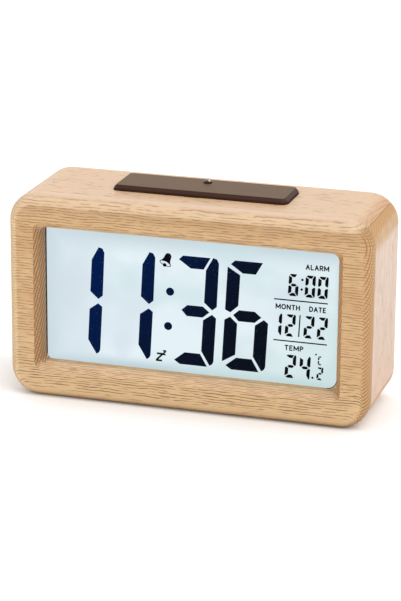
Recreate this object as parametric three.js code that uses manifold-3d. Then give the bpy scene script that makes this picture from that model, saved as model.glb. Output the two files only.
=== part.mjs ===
// Wooden digital alarm clock: a mitred beech case, a segment display behind the window of the front
// board, a snooze bar on top, and a moulded back cover that carries the keys and the battery bay.
// Millimetres, +Z up, front towards -Y, origin on the table under the middle of the case.

import * as THREE from 'three';
import { mergeVertices } from 'three/addons/utils/BufferGeometryUtils.js';
import Module from 'manifold-3d';

const wasm = await Module();
wasm.setup();

// Clearances
const seatGap = 0.05; // between faces that rest on each other
const fitGap = 0.3; // round a piece that drops into its place
const slideGap = 0.25; // round a piece that slides in its hole
const holeGap = 0.1; // round a pin or a screw in its hole
const joinLap = 0.5; // depth by which forms of one moulding run into each other

// Wooden case
const caseWidth = 135;
const caseHeight = 76.5;
const caseDepth = 43;
const cornerRadius = 10.5; // corners of the case seen from the front
const frontEdgeRadius = 4.4; // rounding all round the front board
const backEdgeEasing = 0.5;
const frontBoardThickness = 6.5;
const frontTongue = 1.5; // raised ring behind the front board that nests between the boards
const boardThickness = 7.5; // the four mitred boards behind the front board
const glueLine = 0.1;
const windowStile = 11.8; // wood left and right of the window
const windowRail = 12; // wood above and below the window
const windowCornerRadius = 2.6;
const windowFrontCornerRadius = 3.2; // in front of the bevel
const windowBevel = 1.8; // flat bevel round the front of the window
const coverLip = 3; // wood left outside the rebate of the back cover

// Display stack behind the window
const lensThickness = 1;
const glassThickness = 1.1;
const lightGuideThickness = 2.5;
const reflectorThickness = 0.4;
const mainBoardThickness = 1.6;
const chassisWall = 2; // plastic outside the glass
const chassisCornerRadius = 1.5;
const contactLedge = 1.5; // step between the glass and the light guide
const glassFit = 0.2;
const backlightThickness = 1.6;
const backlightLength = 36;
const backlightLamps = 4;
const lampWidth = 3;
const zebraLength = 96;
const zebraThickness = 1.1;
const mainBoardInset = 0.3; // board edge inside the edge of the chassis
const boardCornerRadius = 1; // corners of all circuit boards
const chipRadius = 7;
const chipHeight = 1.8;
const crystalRadius = 1;
const crystalLength = 6;
const chipAside = 24; // from the middle of the board
const crystalOffset = 12; // from the chip, along the board

// Screws of the main board
const boardScrewRadius = 0.8;
const boardScrewHeadRadius = 1.4;
const boardScrewHeadHeight = 1;
const boardScrewBite = 2.4; // length in the chassis

// Snooze bar
const barLength = 65;
const barSetback = 15.5; // from the front of the case to the bar
const barRibGap = 1.8; // from the bar to the rib of the back cover
const barRise = 2; // above the top board
const barBevel = 1;
const barBevelHeight = 1.1;
const barTopEasing = 0.25; // between the bevel and the top face
const barCornerRadius = 2.4;
const barGap = 0.35; // between the bar and its slot
const barWall = 1.6;
const barRoof = 2;
const barTravel = 1.2;
const barLugReach = 2;
const barLugThickness = 1.6;
const barLugWidth = 8;
const barPostRadius = 2;
const barPostForward = 2.6; // post in front of the middle of the bar
const springInset = 10.5; // return spring from its end of the bar
const springRadius = 2.4; // to the middle of the wire
const springWireRadius = 0.25;
const springTurns = 6;
const springLength = 7;
const springPinRadius = 1.6;
const springPinLength = 2.5;
const springSeatRadius = 3;
const sensorInset = 5.4; // sensor window in front of the back of the bar
const sensorAside = -0.6; // sensor window beside the middle of the bar
const sensorWindowRadius = 1.5;
const sensorDomeRise = 1.1;
const sensorFlangeRadius = 2.6;
const sensorFlangeThickness = 0.8;
const photoCellRadius = 1.5;
const photoCellHeight = 4.4;

// Snooze circuit board on the shelf of the back cover
const smallBoardThickness = 1.2;
const snoozeBoardInset = 3.5; // from each end of the bar
const snoozeBoardFrontGap = 2.6; // to the main board
const snoozeBoardOverhang = 4; // in front of the shelf, for the ribbon
const snoozeBoardRearGap = 2.9; // to the back cover
const shelfThickness = 1.6;
const shelfSideMargin = 1;
const gussetThickness = 1.6;
const gussetReach = 11;
const gussetDrop = 5;
const gussetInset = 9; // from each end of the snooze board
const pegRadius = 0.9;
const pegInset = 3;

// Push switches under the keys and the snooze bar
const switchSize = 6;
const switchHeight = 3.5;
const switchBoreDepth = 2.8;
const plungerRadius = 1.6;
const plungerDepth = 1.2; // length of the plunger inside the switch
const keyPlungerRise = 0.9;
const snoozePlungerSpare = 0.4; // plunger left above the switch when the bar is down

// Back cover
const coverThickness = 2.5;
const coverRecess = 1; // behind the back edges of the boards
const coverRibThickness = 1.2;
const coverRibDepth = 3;
const coverRibCornerRadius = 1;
const coverScrewInset = 22; // from the side of the case
const coverScrewRadius = 1;
const coverScrewHeadRadius = 1.75;
const coverScrewHeadHeight = 1.2;
const coverScrewLength = 9;
const coverScrewTip = 1.2;
const screwSlotWidth = 0.5;
const screwSlotDepth = 0.5;
const screwSlotReach = 1.2; // from the middle of the head

// Battery bay
const cellRadius = 5.25;
const cellLength = 44.5;
const cellNubRadius = 1.9;
const cellNubLength = 1.2;
const cellEdge = 0.6;
const cellSpacing = 0.9;
const cellCount = 3;
const cellDoorGap = 0.6;
const bayMargin = 6.5; // from the left board to the inside of the bay
const bayRise = 5.4; // from the bottom board to the inside of the bay
const bayWall = 1.4;
const saddleRise = 2.2;
const saddleGap = 0.3;
const contactThickness = 0.5;
const contactHeight = 8.8;
const contactCornerRadius = 1;
const contactTagWidth = 2.4;
const contactTagReach = 2;
const cellSpringLength = 5.2;
const cellSpringBaseRadius = 3.6;
const cellSpringTipRadius = 2.4;
const cellSpringWireRadius = 0.3;
const cellSpringTurns = 3.5;

// Battery door
const doorThickness = 1.8;
const doorLap = 1.5; // door outside the bay
const doorBarrelRadius = 1.3;
const doorPipRadius = 0.6;
const doorPipLength = 1;
const doorRim = 1.7; // cover round the door, behind its face
const doorRimDepth = 1.8;
const tongueWidth = 11;
const tongueLength = 7;
const tongueSlit = 0.9;
const tongueRibs = 3;
const tongueRibHeight = 0.35;
const tongueRibWidth = 0.6;
const tongueRibPitch = 1.5;
const fingerScoopRadius = 7;
const fingerScoopDepth = 0.9;

// Keys at the back, from the bottom up
const keyNames = ['mode', 'up', 'down', 'alarm'];
const keyMargin = 2.5; // from the right board to the key board
const keyBoardRise = 3; // above the bottom board
const keyBoardWidth = 38;
const keyEdge = 4.5; // from the end keys to the edge of the board
const buttonPitch = 9.5;
const buttonRadius = 3.25;
const buttonFlangeRadius = 4.2;
const buttonFlangeThickness = 1;
const buttonProud = 0.7; // beyond the face of the cover
const buttonDish = 0.3;
const buttonEdge = 0.5;
const keyPostRadius = 1.8;
const keyPostInset = 3.2;
const keyPostColumn = 13; // first row of posts, from the edge beside the keys

// Light switch, buzzer and temperature sensor on the key board
const lightSwitchColumn = 26; // from the edge beside the keys
const lightSwitchWidth = 9;
const lightSwitchDepth = 4.4;
const lightSwitchHeight = 3.6;
const lightSwitchPocket = 2.4;
const knobWidth = 3;
const knobThickness = 2;
const knobStemWidth = 2;
const knobTravel = 2;
const knobProud = 0.7;
const knobGrooves = 3;
const knobGrooveDepth = 0.3;
const buzzerRadius = 6;
const buzzerHoleRadius = 1.2;
const buzzerHoleDepth = 1.5;
const buzzerRise = 17; // above the light switch
const soundHoleRadius = 0.8;
const soundHoleCircle = 3.2;
const soundHoles = 6;
const beadRadius = 1.3;
const beadStemRadius = 0.5;
const beadStemLength = 2.2;
const ventWidth = 1.2;
const ventLength = 6;
const ventPitch = 2.6;
const ventCount = 4;

// Leads and ribbons
const leadRadius = 0.6;
const leadSides = 8;
const leadSteps = 14;
const ribbonWidth = 7;
const ribbonThickness = 0.8;
const ribbonDrop = 8;
const leadEndGap = 0.3;
const leadStraight = 4; // run square to the board
const redLeadAside = 6; // end of the lead from its start, across and up the board
const redLeadRise = 6;
const blackLeadAside = 4;
const blackLeadRise = -5;

// Facets
const cornerSteps = 10;
const smallCornerSteps = 3;
const edgeSteps = 8;
const domeSteps = 4;
const turnSegments = 16;
const cellSegments = 20;
const smallSegments = 12;
const coilSteps = 8;
const coilSides = 5;

// Places worked out from the driving dimensions
const middleZ = caseHeight / 2;
const frontY = -caseDepth / 2;
const backY = caseDepth / 2;
const frontBoardBackY = frontY + frontBoardThickness;
const cavityWidth = caseWidth - 2 * boardThickness;
const cavityHeight = caseHeight - 2 * boardThickness;
const cavityTopZ = caseHeight - boardThickness;
const windowWidth = caseWidth - 2 * windowStile;
const windowHeight = caseHeight - 2 * windowRail;

const tongueBackY = frontBoardBackY + frontTongue;
const lensY = tongueBackY + seatGap;
const frontGlassY = lensY + lensThickness + seatGap;
const rearGlassY = frontGlassY + glassThickness + seatGap;
const lightGuideY = rearGlassY + glassThickness + seatGap;
const reflectorY = lightGuideY + lightGuideThickness + seatGap;
const mainBoardY = reflectorY + reflectorThickness + seatGap;
const mainBoardBackY = mainBoardY + mainBoardThickness;
const chassisWidth = cavityWidth - 2 * fitGap;
const chassisHeight = cavityHeight - 2 * fitGap;
const chassisBackY = mainBoardY - seatGap;
const glassPocketWidth = chassisWidth - 2 * chassisWall;
const glassPocketHeight = chassisHeight - 2 * chassisWall;
const guidePocketWidth = glassPocketWidth - 2 * contactLedge;
const guidePocketHeight = glassPocketHeight - 2 * contactLedge;
const boardScrewX = (guidePocketWidth + chassisWidth) / 4;
const boardScrewRise = (guidePocketHeight + chassisHeight) / 4;

const coverOuterY = backY - coverRecess;
const coverInnerY = coverOuterY - coverThickness;
const coverRibFrontY = coverInnerY - coverRibDepth;
const coverWidth = caseWidth - 2 * coverLip - 2 * fitGap;
const coverHeight = caseHeight - 2 * coverLip - 2 * fitGap;
const coverScrewX = caseWidth / 2 - coverScrewInset;
const coverScrewRise = (coverLip + boardThickness) / 2;

const barFrontY = frontY + barSetback;
const barBackY = coverRibFrontY - barRibGap;
const barDepth = barBackY - barFrontY;
const barMiddleY = (barFrontY + barBackY) / 2;
const barTopZ = caseHeight + barRise;
const barRoofZ = barTopZ - barRoof;
const barSkirtZ = cavityTopZ - fitGap - barLugThickness;
const springX = barLength / 2 - springInset;
const snoozeBoardLength = barLength - 2 * snoozeBoardInset;
const snoozeBoardTopZ = barSkirtZ - springLength - 2 * seatGap;
const snoozeBoardZ = snoozeBoardTopZ - smallBoardThickness;
const snoozeBoardFrontY = mainBoardBackY + snoozeBoardFrontGap;
const snoozeBoardBackY = coverInnerY - snoozeBoardRearGap;
const snoozePlungerRise = barTravel + snoozePlungerSpare;
const snoozeSwitchTopZ = snoozeBoardTopZ + seatGap + switchHeight;
const barPostZ = snoozeSwitchTopZ + snoozePlungerRise + seatGap;
const barPostY = barMiddleY - barPostForward;
const sensorY = barBackY - sensorInset;
const shelfTopZ = snoozeBoardZ - seatGap;
const shelfZ = shelfTopZ - shelfThickness;
const shelfFrontY = snoozeBoardFrontY + snoozeBoardOverhang;
const gussetX = snoozeBoardLength / 2 - gussetInset;

const doorInnerY = coverOuterY - doorThickness;
const cellY = doorInnerY - cellDoorGap - cellRadius;
const cellPitch = 2 * cellRadius + cellSpacing;
const bayFloorY = cellY - cellRadius - saddleGap;
const bayWidth = cellLength + cellSpringLength + 2 * contactThickness + 4 * seatGap;
const bayHeight = cellCount * cellPitch;
const bayLeft = -cavityWidth / 2 + bayMargin;
const bayRight = bayLeft + bayWidth;
const bayMiddleX = (bayLeft + bayRight) / 2;
const bayBottomZ = boardThickness + bayRise;
const bayTopZ = bayBottomZ + bayHeight;
const doorWidth = bayWidth + 2 * doorLap;
const doorAxisY = coverOuterY - doorBarrelRadius;
const doorAxisZ = bayBottomZ - doorLap;
const doorTopZ = bayTopZ + doorLap;

const keyBoardRight = cavityWidth / 2 - keyMargin;
const keyBoardLeft = keyBoardRight - keyBoardWidth;
const keyBoardZ = boardThickness + keyBoardRise;
const keyBoardHeight = (keyNames.length - 1) * buttonPitch + 2 * keyEdge;
const keyBoardTopZ = keyBoardZ + keyBoardHeight;
const buttonX = keyBoardLeft + keyEdge;
const buttonBaseY = coverInnerY - fitGap - buttonFlangeThickness;
const keySwitchFaceY = buttonBaseY - seatGap - keyPlungerRise;
const keyBoardFaceY = keySwitchFaceY - switchHeight - seatGap;
const keyBoardY = keyBoardFaceY - smallBoardThickness;
const lightSwitchX = keyBoardLeft + lightSwitchColumn;
const lightSwitchZ = keyBoardZ + keyEdge;
const buzzerZ = lightSwitchZ + buzzerRise;
const beadZ = keyBoardTopZ - keyEdge;

// Finishes
function finish(color, roughness, metalness = 0) {
  return new THREE.MeshStandardMaterial({ color, roughness, metalness });
}
const frontWood = finish(0xd0aa7d, 0.55);
const boardWood = finish(0xe4cbb0, 0.55);
const barPlastic = finish(0x6b5643, 0.5);
const coverPlastic = finish(0x4a3a2e, 0.6);
const darkPlastic = finish(0x1d1d1f, 0.55);
const whitePlastic = finish(0xe9ebec, 0.6);
const clearPlastic = finish(0xe8f1f5, 0.1);
const displayGlass = finish(0xcfdfe8, 0.15);
const rubberGrey = finish(0x5b5e63, 0.8);
const boardGreen = finish(0x1f5a3a, 0.5);
const resinBlack = finish(0x121212, 0.4);
const steel = finish(0xb9bcc0, 0.35, 1);
const cellJacket = finish(0x33383d, 0.4);
const redSleeve = finish(0xa8261f, 0.5);
const blackSleeve = finish(0x17181a, 0.5);
const ribbonGrey = finish(0xa9adb1, 0.6);

// Outline points of a rounded rectangle round the origin, counter-clockwise
function roundedOutline(width, height, radius, steps = cornerSteps) {
  const points = [];
  const corners = [[1, 1], [-1, 1], [-1, -1], [1, -1]];
  corners.forEach(([sideU, sideV], quarter) => {
    for (let step = 0; step <= steps; step += 1) {
      const angle = (quarter + step / steps) * (Math.PI / 2);
      points.push(new THREE.Vector2(
        sideU * (width / 2 - radius) + radius * Math.cos(angle),
        sideV * (height / 2 - radius) + radius * Math.sin(angle),
      ));
    }
  });
  return points;
}

function circleOutline(radius, sides, u = 0, v = 0) {
  const points = [];
  for (let side = 0; side < sides; side += 1) {
    const angle = (2 * Math.PI * side) / sides;
    points.push(new THREE.Vector2(u + radius * Math.cos(angle), v + radius * Math.sin(angle)));
  }
  return points;
}

function moved(outline, u, v) {
  return outline.map((point) => new THREE.Vector2(point.x + u, point.y + v));
}

function shapeOf(outline, holes = []) {
  const shape = new THREE.Shape(outline);
  shape.holes = holes.map((hole) => new THREE.Path(hole));
  return shape;
}

// Welds the corners, drops empty triangles and turns the faces outwards
function closedBody(geometry) {
  const bare = geometry.clone();
  bare.deleteAttribute('normal');
  bare.deleteAttribute('uv');
  const welded = mergeVertices(bare, 1e-5);
  const position = welded.getAttribute('position');
  const triangles = [];
  let volume = 0;
  const corner = [new THREE.Vector3(), new THREE.Vector3(), new THREE.Vector3()];
  for (let start = 0; start < welded.index.count; start += 3) {
    const [a, b, c] = [0, 1, 2].map((offset) => welded.index.getX(start + offset));
    if (a !== b && b !== c && a !== c) {
      triangles.push([a, b, c]);
      [a, b, c].forEach((vertex, place) => corner[place].fromBufferAttribute(position, vertex));
      volume += corner[0].dot(corner[1].clone().cross(corner[2]));
    }
  }
  const facing = volume < 0 ? triangles.map(([a, b, c]) => [a, c, b]) : triangles;
  welded.setIndex(facing.flat());
  return welded;
}

function toSolid(geometry) {
  const body = closedBody(geometry);
  return new wasm.Manifold(new wasm.Mesh({
    numProp: 3,
    vertProperties: new Float32Array(body.getAttribute('position').array),
    triVerts: new Uint32Array(body.index.array),
  }));
}

function toGeometry(solid) {
  const mesh = solid.getMesh();
  const geometry = new THREE.BufferGeometry();
  geometry.setAttribute('position', new THREE.BufferAttribute(new Float32Array(mesh.vertProperties), 3));
  geometry.setIndex(Array.from(mesh.triVerts));
  return geometry;
}

function join(first, ...others) {
  return toGeometry(others.reduce((whole, other) => whole.add(toSolid(other)), toSolid(first)));
}

function cut(first, ...tools) {
  return toGeometry(tools.reduce((whole, tool) => whole.subtract(toSolid(tool)), toSolid(first)));
}

// A skin through outlines of equal length, each at its own level, placed by a function
function loft(sections, place, closed = false) {
  const count = sections[0].outline.length;
  const positions = [];
  const faces = [];
  for (const { outline, level } of sections) {
    outline.forEach((point) => positions.push(...place(point.x, point.y, level)));
  }
  const spans = closed ? sections.length : sections.length - 1;
  for (let span = 0; span < spans; span += 1) {
    const here = span * count;
    const next = ((span + 1) % sections.length) * count;
    for (let side = 0; side < count; side += 1) {
      const after = (side + 1) % count;
      faces.push(here + side, here + after, next + after);
      faces.push(here + side, next + after, next + side);
    }
  }
  if (!closed) {
    const last = (sections.length - 1) * count;
    const lid = THREE.ShapeUtils.triangulateShape(sections[0].outline, []);
    lid.forEach(([a, b, c]) => faces.push(a, c, b));
    const foot = THREE.ShapeUtils.triangulateShape(sections.at(-1).outline, []);
    foot.forEach(([a, b, c]) => faces.push(last + a, last + b, last + c));
  }
  const geometry = new THREE.BufferGeometry();
  geometry.setAttribute('position', new THREE.Float32BufferAttribute(positions, 3));
  geometry.setIndex(faces);
  return closedBody(geometry);
}

const alongY = (u, v, level) => [u, level, v];
const alongZ = (u, v, level) => [u, v, level];

function extruded(shape, depth) {
  return new THREE.ExtrudeGeometry(shape, { depth, bevelEnabled: false });
}

// Plates whose outline is drawn in XZ, in XY or in YZ
function plateY(shape, fromY, toY) {
  return extruded(shape, toY - fromY).rotateX(Math.PI / 2).translate(0, toY, 0);
}

function plateZ(shape, fromZ, toZ) {
  return extruded(shape, toZ - fromZ).translate(0, 0, fromZ);
}

function plateX(shape, fromX, toX) {
  const turn = new THREE.Matrix4().makeBasis(
    new THREE.Vector3(0, 1, 0),
    new THREE.Vector3(0, 0, 1),
    new THREE.Vector3(1, 0, 0),
  );
  return extruded(shape, toX - fromX).applyMatrix4(turn).translate(fromX, 0, 0);
}

function block(fromX, toX, fromY, toY, fromZ, toZ) {
  const geometry = new THREE.BoxGeometry(toX - fromX, toY - fromY, toZ - fromZ);
  return geometry.translate((fromX + toX) / 2, (fromY + toY) / 2, (fromZ + toZ) / 2);
}

function rodX(radius, fromX, toX, y, z, sides = smallSegments) {
  return plateX(shapeOf(circleOutline(radius, sides, y, z)), fromX, toX);
}

function rodY(radius, fromY, toY, x, z, sides = smallSegments) {
  return plateY(shapeOf(circleOutline(radius, sides, x, z)), fromY, toY);
}

function rodZ(radius, fromZ, toZ, x, y, sides = smallSegments) {
  return plateZ(shapeOf(circleOutline(radius, sides, x, y)), fromZ, toZ);
}

// A turned piece round Z, from a profile of radius and height that starts and ends on the axis
function turned(profile, segments = turnSegments) {
  const points = profile.map(([radius, height]) => new THREE.Vector2(radius, height));
  return closedBody(new THREE.LatheGeometry(points, segments).rotateX(Math.PI / 2));
}

// Profile of a dome that ends on the axis
function domeProfile(radius, baseHeight, rise) {
  const profile = [];
  for (let step = 0; step <= domeSteps; step += 1) {
    const angle = (step / domeSteps) * (Math.PI / 2);
    profile.push([radius * Math.cos(angle), baseHeight + rise * Math.sin(angle)]);
  }
  return profile;
}

// A wire wound round Z, with a radius that changes evenly from its foot to its tip
function coilCentres(footRadius, tipRadius, turns, footZ, tipZ) {
  const steps = Math.round(turns * coilSteps);
  const centres = [];
  for (let step = 0; step <= steps; step += 1) {
    const share = step / steps;
    const angle = 2 * Math.PI * turns * share;
    const radius = THREE.MathUtils.lerp(footRadius, tipRadius, share);
    const height = THREE.MathUtils.lerp(footZ, tipZ, share);
    centres.push(new THREE.Vector3(radius * Math.cos(angle), radius * Math.sin(angle), height));
  }
  return centres;
}

function coil(centres, wireRadius) {
  const outline = circleOutline(wireRadius, coilSides);
  const sections = centres.map((centre) => ({ outline, level: centre }));
  return loft(sections, (u, v, centre) => {
    const reach = Math.hypot(centre.x, centre.y);
    const out = (reach + u) / reach;
    return [centre.x * out, centre.y * out, centre.z + v];
  });
}

function leastGap(centres, wireRadius) {
  let least = Infinity;
  for (let first = 0; first < centres.length; first += 1) {
    for (let second = first + coilSteps / 2; second < centres.length; second += 1) {
      least = Math.min(least, centres[first].distanceTo(centres[second]) - 2 * wireRadius);
    }
  }
  return least;
}

// A tube or a flat ribbon along a curve
function swept(outline, curve) {
  const options = { steps: leadSteps, extrudePath: curve, bevelEnabled: false };
  return closedBody(new THREE.ExtrudeGeometry(shapeOf(outline), options));
}

const clock = new THREE.Group();

function add(parent, name, geometry, material, place = [0, 0, 0]) {
  const body = closedBody(geometry);
  body.computeVertexNormals();
  const mesh = new THREE.Mesh(body, material.clone());
  mesh.name = name;
  mesh.position.set(...place);
  parent.add(mesh);
  return mesh;
}

// Front board: a ring of rounded outlines that runs over its front edge, through the window and round the
// tongue behind it
function frontBoard() {
  const ring = (width, height, radius, level) => ({
    outline: moved(roundedOutline(width, height, radius), 0, middleZ),
    level,
  });
  const outer = (inset, level) => ring(
    caseWidth - 2 * inset,
    caseHeight - 2 * inset,
    cornerRadius - inset,
    level,
  );
  const inner = (level) => ring(windowWidth, windowHeight, windowCornerRadius, level);
  const tongue = (level) => ring(chassisWidth, chassisHeight, chassisCornerRadius, level);
  const rings = [outer(0, frontBoardBackY)];
  for (let step = 0; step <= edgeSteps; step += 1) {
    const angle = (step / edgeSteps) * (Math.PI / 2);
    const inset = frontEdgeRadius * (1 - Math.cos(angle));
    rings.push(outer(inset, frontY + frontEdgeRadius * (1 - Math.sin(angle))));
  }
  rings.push(
    ring(windowWidth + 2 * windowBevel, windowHeight + 2 * windowBevel, windowFrontCornerRadius, frontY),
    inner(frontY + windowBevel),
    inner(tongueBackY),
    tongue(tongueBackY),
    tongue(frontBoardBackY),
  );
  return loft(rings, alongY, true);
}

// A mitred board drawn along u with its outer face towards v, then turned to its side of the case
function mitredBoard(length, reach, place) {
  const mitreShift = glueLine * Math.SQRT1_2;
  const section = (inset, level) => {
    const radius = cornerRadius - inset;
    const mitreAngle = Math.PI / 4 + Math.asin(mitreShift / (Math.SQRT2 * radius));
    const right = [new THREE.Vector2(length / 2 - boardThickness - mitreShift, reach - boardThickness)];
    for (let step = 0; step <= cornerSteps / 2; step += 1) {
      const angle = THREE.MathUtils.lerp(mitreAngle, Math.PI / 2, step / (cornerSteps / 2));
      right.push(new THREE.Vector2(
        length / 2 - cornerRadius + radius * Math.cos(angle),
        reach - cornerRadius + radius * Math.sin(angle),
      ));
    }
    const left = right.map((point) => new THREE.Vector2(-point.x, point.y)).reverse();
    return { outline: [...right, ...left], level };
  };
  const sections = [
    section(0, frontBoardBackY + glueLine),
    section(0, backY - backEdgeEasing),
    section(backEdgeEasing, backY),
  ];
  return loft(sections, place);
}

// Rebate for the back cover and the pilot holes of its screws
function coverRebate() {
  const width = caseWidth - 2 * coverLip;
  const height = caseHeight - 2 * coverLip;
  const outline = moved(roundedOutline(width, height, cornerRadius - coverLip), 0, middleZ);
  return plateY(shapeOf(outline), coverInnerY - seatGap, backY + joinLap);
}

function pilotHole(x, z) {
  return rodY(coverScrewRadius + holeGap, coverOuterY - coverScrewLength - fitGap, backY, x, z);
}

function woodenCase() {
  const group = new THREE.Group();
  const topZ = caseHeight - coverScrewRise;
  const slot = plateZ(
    shapeOf(moved(
      roundedOutline(barLength + 2 * barGap, barDepth + 2 * barGap, barCornerRadius + barGap),
      0,
      barMiddleY,
    )),
    cavityTopZ - joinLap,
    caseHeight + joinLap,
  );
  const top = mitredBoard(caseWidth, caseHeight / 2, (u, v, level) => [u, level, middleZ + v]);
  const bottom = mitredBoard(caseWidth, caseHeight / 2, (u, v, level) => [-u, level, middleZ - v]);
  const right = mitredBoard(caseHeight, caseWidth / 2, (u, v, level) => [v, level, middleZ - u]);
  const left = mitredBoard(caseHeight, caseWidth / 2, (u, v, level) => [-v, level, middleZ + u]);
  const pilots = (z) => [pilotHole(-coverScrewX, z), pilotHole(coverScrewX, z)];
  add(group, 'front_board', frontBoard(), frontWood);
  add(group, 'top_board', cut(top, coverRebate(), slot, ...pilots(topZ)), boardWood);
  add(group, 'bottom_board', cut(bottom, coverRebate(), ...pilots(coverScrewRise)), boardWood);
  add(group, 'left_board', cut(left, coverRebate()), boardWood);
  add(group, 'right_board', cut(right, coverRebate()), boardWood);
  return group;
}

// Frame that holds the glass, the light guide and the main circuit board against the front board
function displayChassis() {
  const outline = roundedOutline(chassisWidth, chassisHeight, chassisCornerRadius, smallCornerSteps);
  const outer = plateY(shapeOf(moved(outline, 0, middleZ)), frontGlassY, chassisBackY);
  const pocket = (width, height, fromY) => block(
    -width / 2,
    width / 2,
    fromY,
    chassisBackY + joinLap,
    middleZ - height / 2,
    middleZ + height / 2,
  );
  const glassPocket = block(
    -glassPocketWidth / 2,
    glassPocketWidth / 2,
    frontGlassY - joinLap,
    lightGuideY,
    middleZ - glassPocketHeight / 2,
    middleZ + glassPocketHeight / 2,
  );
  const lampBay = block(
    -guidePocketWidth / 2 - backlightThickness - glassFit,
    -guidePocketWidth / 2 + joinLap,
    rearGlassY,
    chassisBackY + joinLap,
    middleZ - backlightLength / 2 - fitGap,
    middleZ + backlightLength / 2 + fitGap,
  );
  const zebraSlot = block(
    -zebraLength / 2 - fitGap,
    zebraLength / 2 + fitGap,
    rearGlassY,
    chassisBackY + joinLap,
    middleZ - glassPocketHeight / 2,
    middleZ - guidePocketHeight / 2 + joinLap,
  );
  const screwHole = (x) => rodY(
    boardScrewRadius + holeGap,
    chassisBackY - boardScrewBite - fitGap,
    chassisBackY + joinLap,
    x,
    middleZ + boardScrewRise,
  );
  const peg = (x) => rodY(
    boardScrewRadius,
    chassisBackY - joinLap,
    mainBoardBackY + boardScrewHeadHeight,
    x,
    middleZ - boardScrewRise,
  );
  const frame = cut(
    outer,
    glassPocket,
    pocket(guidePocketWidth, guidePocketHeight, rearGlassY),
    lampBay,
    zebraSlot,
    screwHole(-boardScrewX),
    screwHole(boardScrewX),
  );
  return join(frame, peg(-boardScrewX), peg(boardScrewX));
}

// Strip of lamps that lights the left edge of the light guide
function backlightStrip() {
  const half = backlightLength / 2;
  const back = -guidePocketWidth / 2 - backlightThickness;
  const face = back + backlightThickness / 2;
  const tip = back + backlightThickness;
  const points = [[back, half], [back, -half], [face, -half]];
  for (let lamp = 0; lamp < backlightLamps; lamp += 1) {
    const centre = ((lamp + 0.5) / backlightLamps - 0.5) * backlightLength;
    const low = centre - lampWidth / 2;
    const high = centre + lampWidth / 2;
    points.push([face, low], [tip, low], [tip, high], [face, high]);
  }
  points.push([face, half]);
  const outline = points.map(([x, z]) => new THREE.Vector2(x, middleZ + z));
  return plateY(shapeOf(outline), lightGuideY + seatGap, reflectorY - 2 * seatGap);
}

// Circuit board with holes for its screws and pegs, and a notch that clears the snooze bar
function mainBoard() {
  const width = chassisWidth - 2 * mainBoardInset;
  const height = chassisHeight - 2 * mainBoardInset;
  const outline = roundedOutline(width, height, boardCornerRadius, smallCornerSteps);
  const hole = (x, rise) => circleOutline(boardScrewRadius + holeGap, smallSegments, x, middleZ + rise);
  const rises = [boardScrewRise, -boardScrewRise];
  const holes = [-boardScrewX, boardScrewX].flatMap((x) => rises.map((rise) => hole(x, rise)));
  const notchHalf = barLength / 2 + barLugReach + fitGap;
  const notch = block(
    -notchHalf,
    notchHalf,
    mainBoardY - joinLap,
    mainBoardBackY + joinLap,
    barSkirtZ - barTravel - fitGap,
    cavityTopZ,
  );
  return cut(plateY(shapeOf(moved(outline, 0, middleZ), holes), mainBoardY, mainBoardBackY), notch);
}

function boardScrew() {
  const grip = mainBoardThickness + seatGap + boardScrewBite;
  return turned([
    [0, -grip],
    [boardScrewRadius, -grip + boardScrewRadius],
    [boardScrewRadius, 0],
    [boardScrewHeadRadius, 0],
    [boardScrewHeadRadius, boardScrewHeadHeight / 2],
    [boardScrewHeadRadius / 2, boardScrewHeadHeight],
    [0, boardScrewHeadHeight],
  ], smallSegments);
}

function display() {
  const group = new THREE.Group();
  const sheet = (width, height, fromY, thickness) => block(
    -width / 2,
    width / 2,
    fromY,
    fromY + thickness,
    middleZ - height / 2,
    middleZ + height / 2,
  );
  const glassWidth = glassPocketWidth - 2 * glassFit;
  const glassHeight = glassPocketHeight - 2 * glassFit;
  const guideWidth = guidePocketWidth - 2 * glassFit;
  const guideHeight = guidePocketHeight - 2 * glassFit;
  const rearGlass = block(
    -glassWidth / 2,
    glassWidth / 2,
    rearGlassY,
    rearGlassY + glassThickness,
    middleZ - guideHeight / 2,
    middleZ + glassHeight / 2,
  );
  const zebraZ = middleZ - glassHeight / 2;
  const zebra = block(
    -zebraLength / 2,
    zebraLength / 2,
    rearGlassY,
    chassisBackY,
    zebraZ,
    zebraZ + zebraThickness,
  );
  add(group, 'window_lens', sheet(chassisWidth, chassisHeight, lensY, lensThickness), clearPlastic);
  add(group, 'lcd_front_glass', sheet(glassWidth, glassHeight, frontGlassY, glassThickness), displayGlass);
  add(group, 'lcd_rear_glass', rearGlass, displayGlass);
  add(group, 'light_guide', sheet(guideWidth, guideHeight, lightGuideY, lightGuideThickness), clearPlastic);
  add(group, 'reflector_sheet', sheet(guideWidth, guideHeight, reflectorY, reflectorThickness), whitePlastic);
  add(group, 'backlight_strip', backlightStrip(), whitePlastic);
  add(group, 'display_chassis', displayChassis(), darkPlastic);
  add(group, 'zebra_strip', zebra, rubberGrey);
  add(group, 'main_circuit_board', mainBoard(), boardGreen);

  const chip = turned([[0, 0], ...domeProfile(chipRadius, 0, chipHeight)]);
  const crystalEnd = crystalRadius / 2;
  const crystal = turned([
    [0, 0],
    [crystalRadius, 0],
    ...domeProfile(crystalRadius, crystalLength - crystalEnd, crystalEnd),
  ], smallSegments);
  const onBoard = mainBoardBackY + seatGap;
  add(group, 'controller_chip', chip, resinBlack, [chipAside, onBoard, middleZ]).rotation.x = -Math.PI / 2;
  const crystalX = chipAside + crystalOffset;
  add(group, 'clock_crystal', crystal, steel, [crystalX, onBoard + crystalRadius, middleZ]);
  const screwPlace = (x) => [x, mainBoardBackY + seatGap, middleZ + boardScrewRise];
  add(group, 'board_screw_left', boardScrew(), steel, screwPlace(-boardScrewX)).rotation.x = -Math.PI / 2;
  add(group, 'board_screw_right', boardScrew(), steel, screwPlace(boardScrewX)).rotation.x = -Math.PI / 2;
  return group;
}

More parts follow.
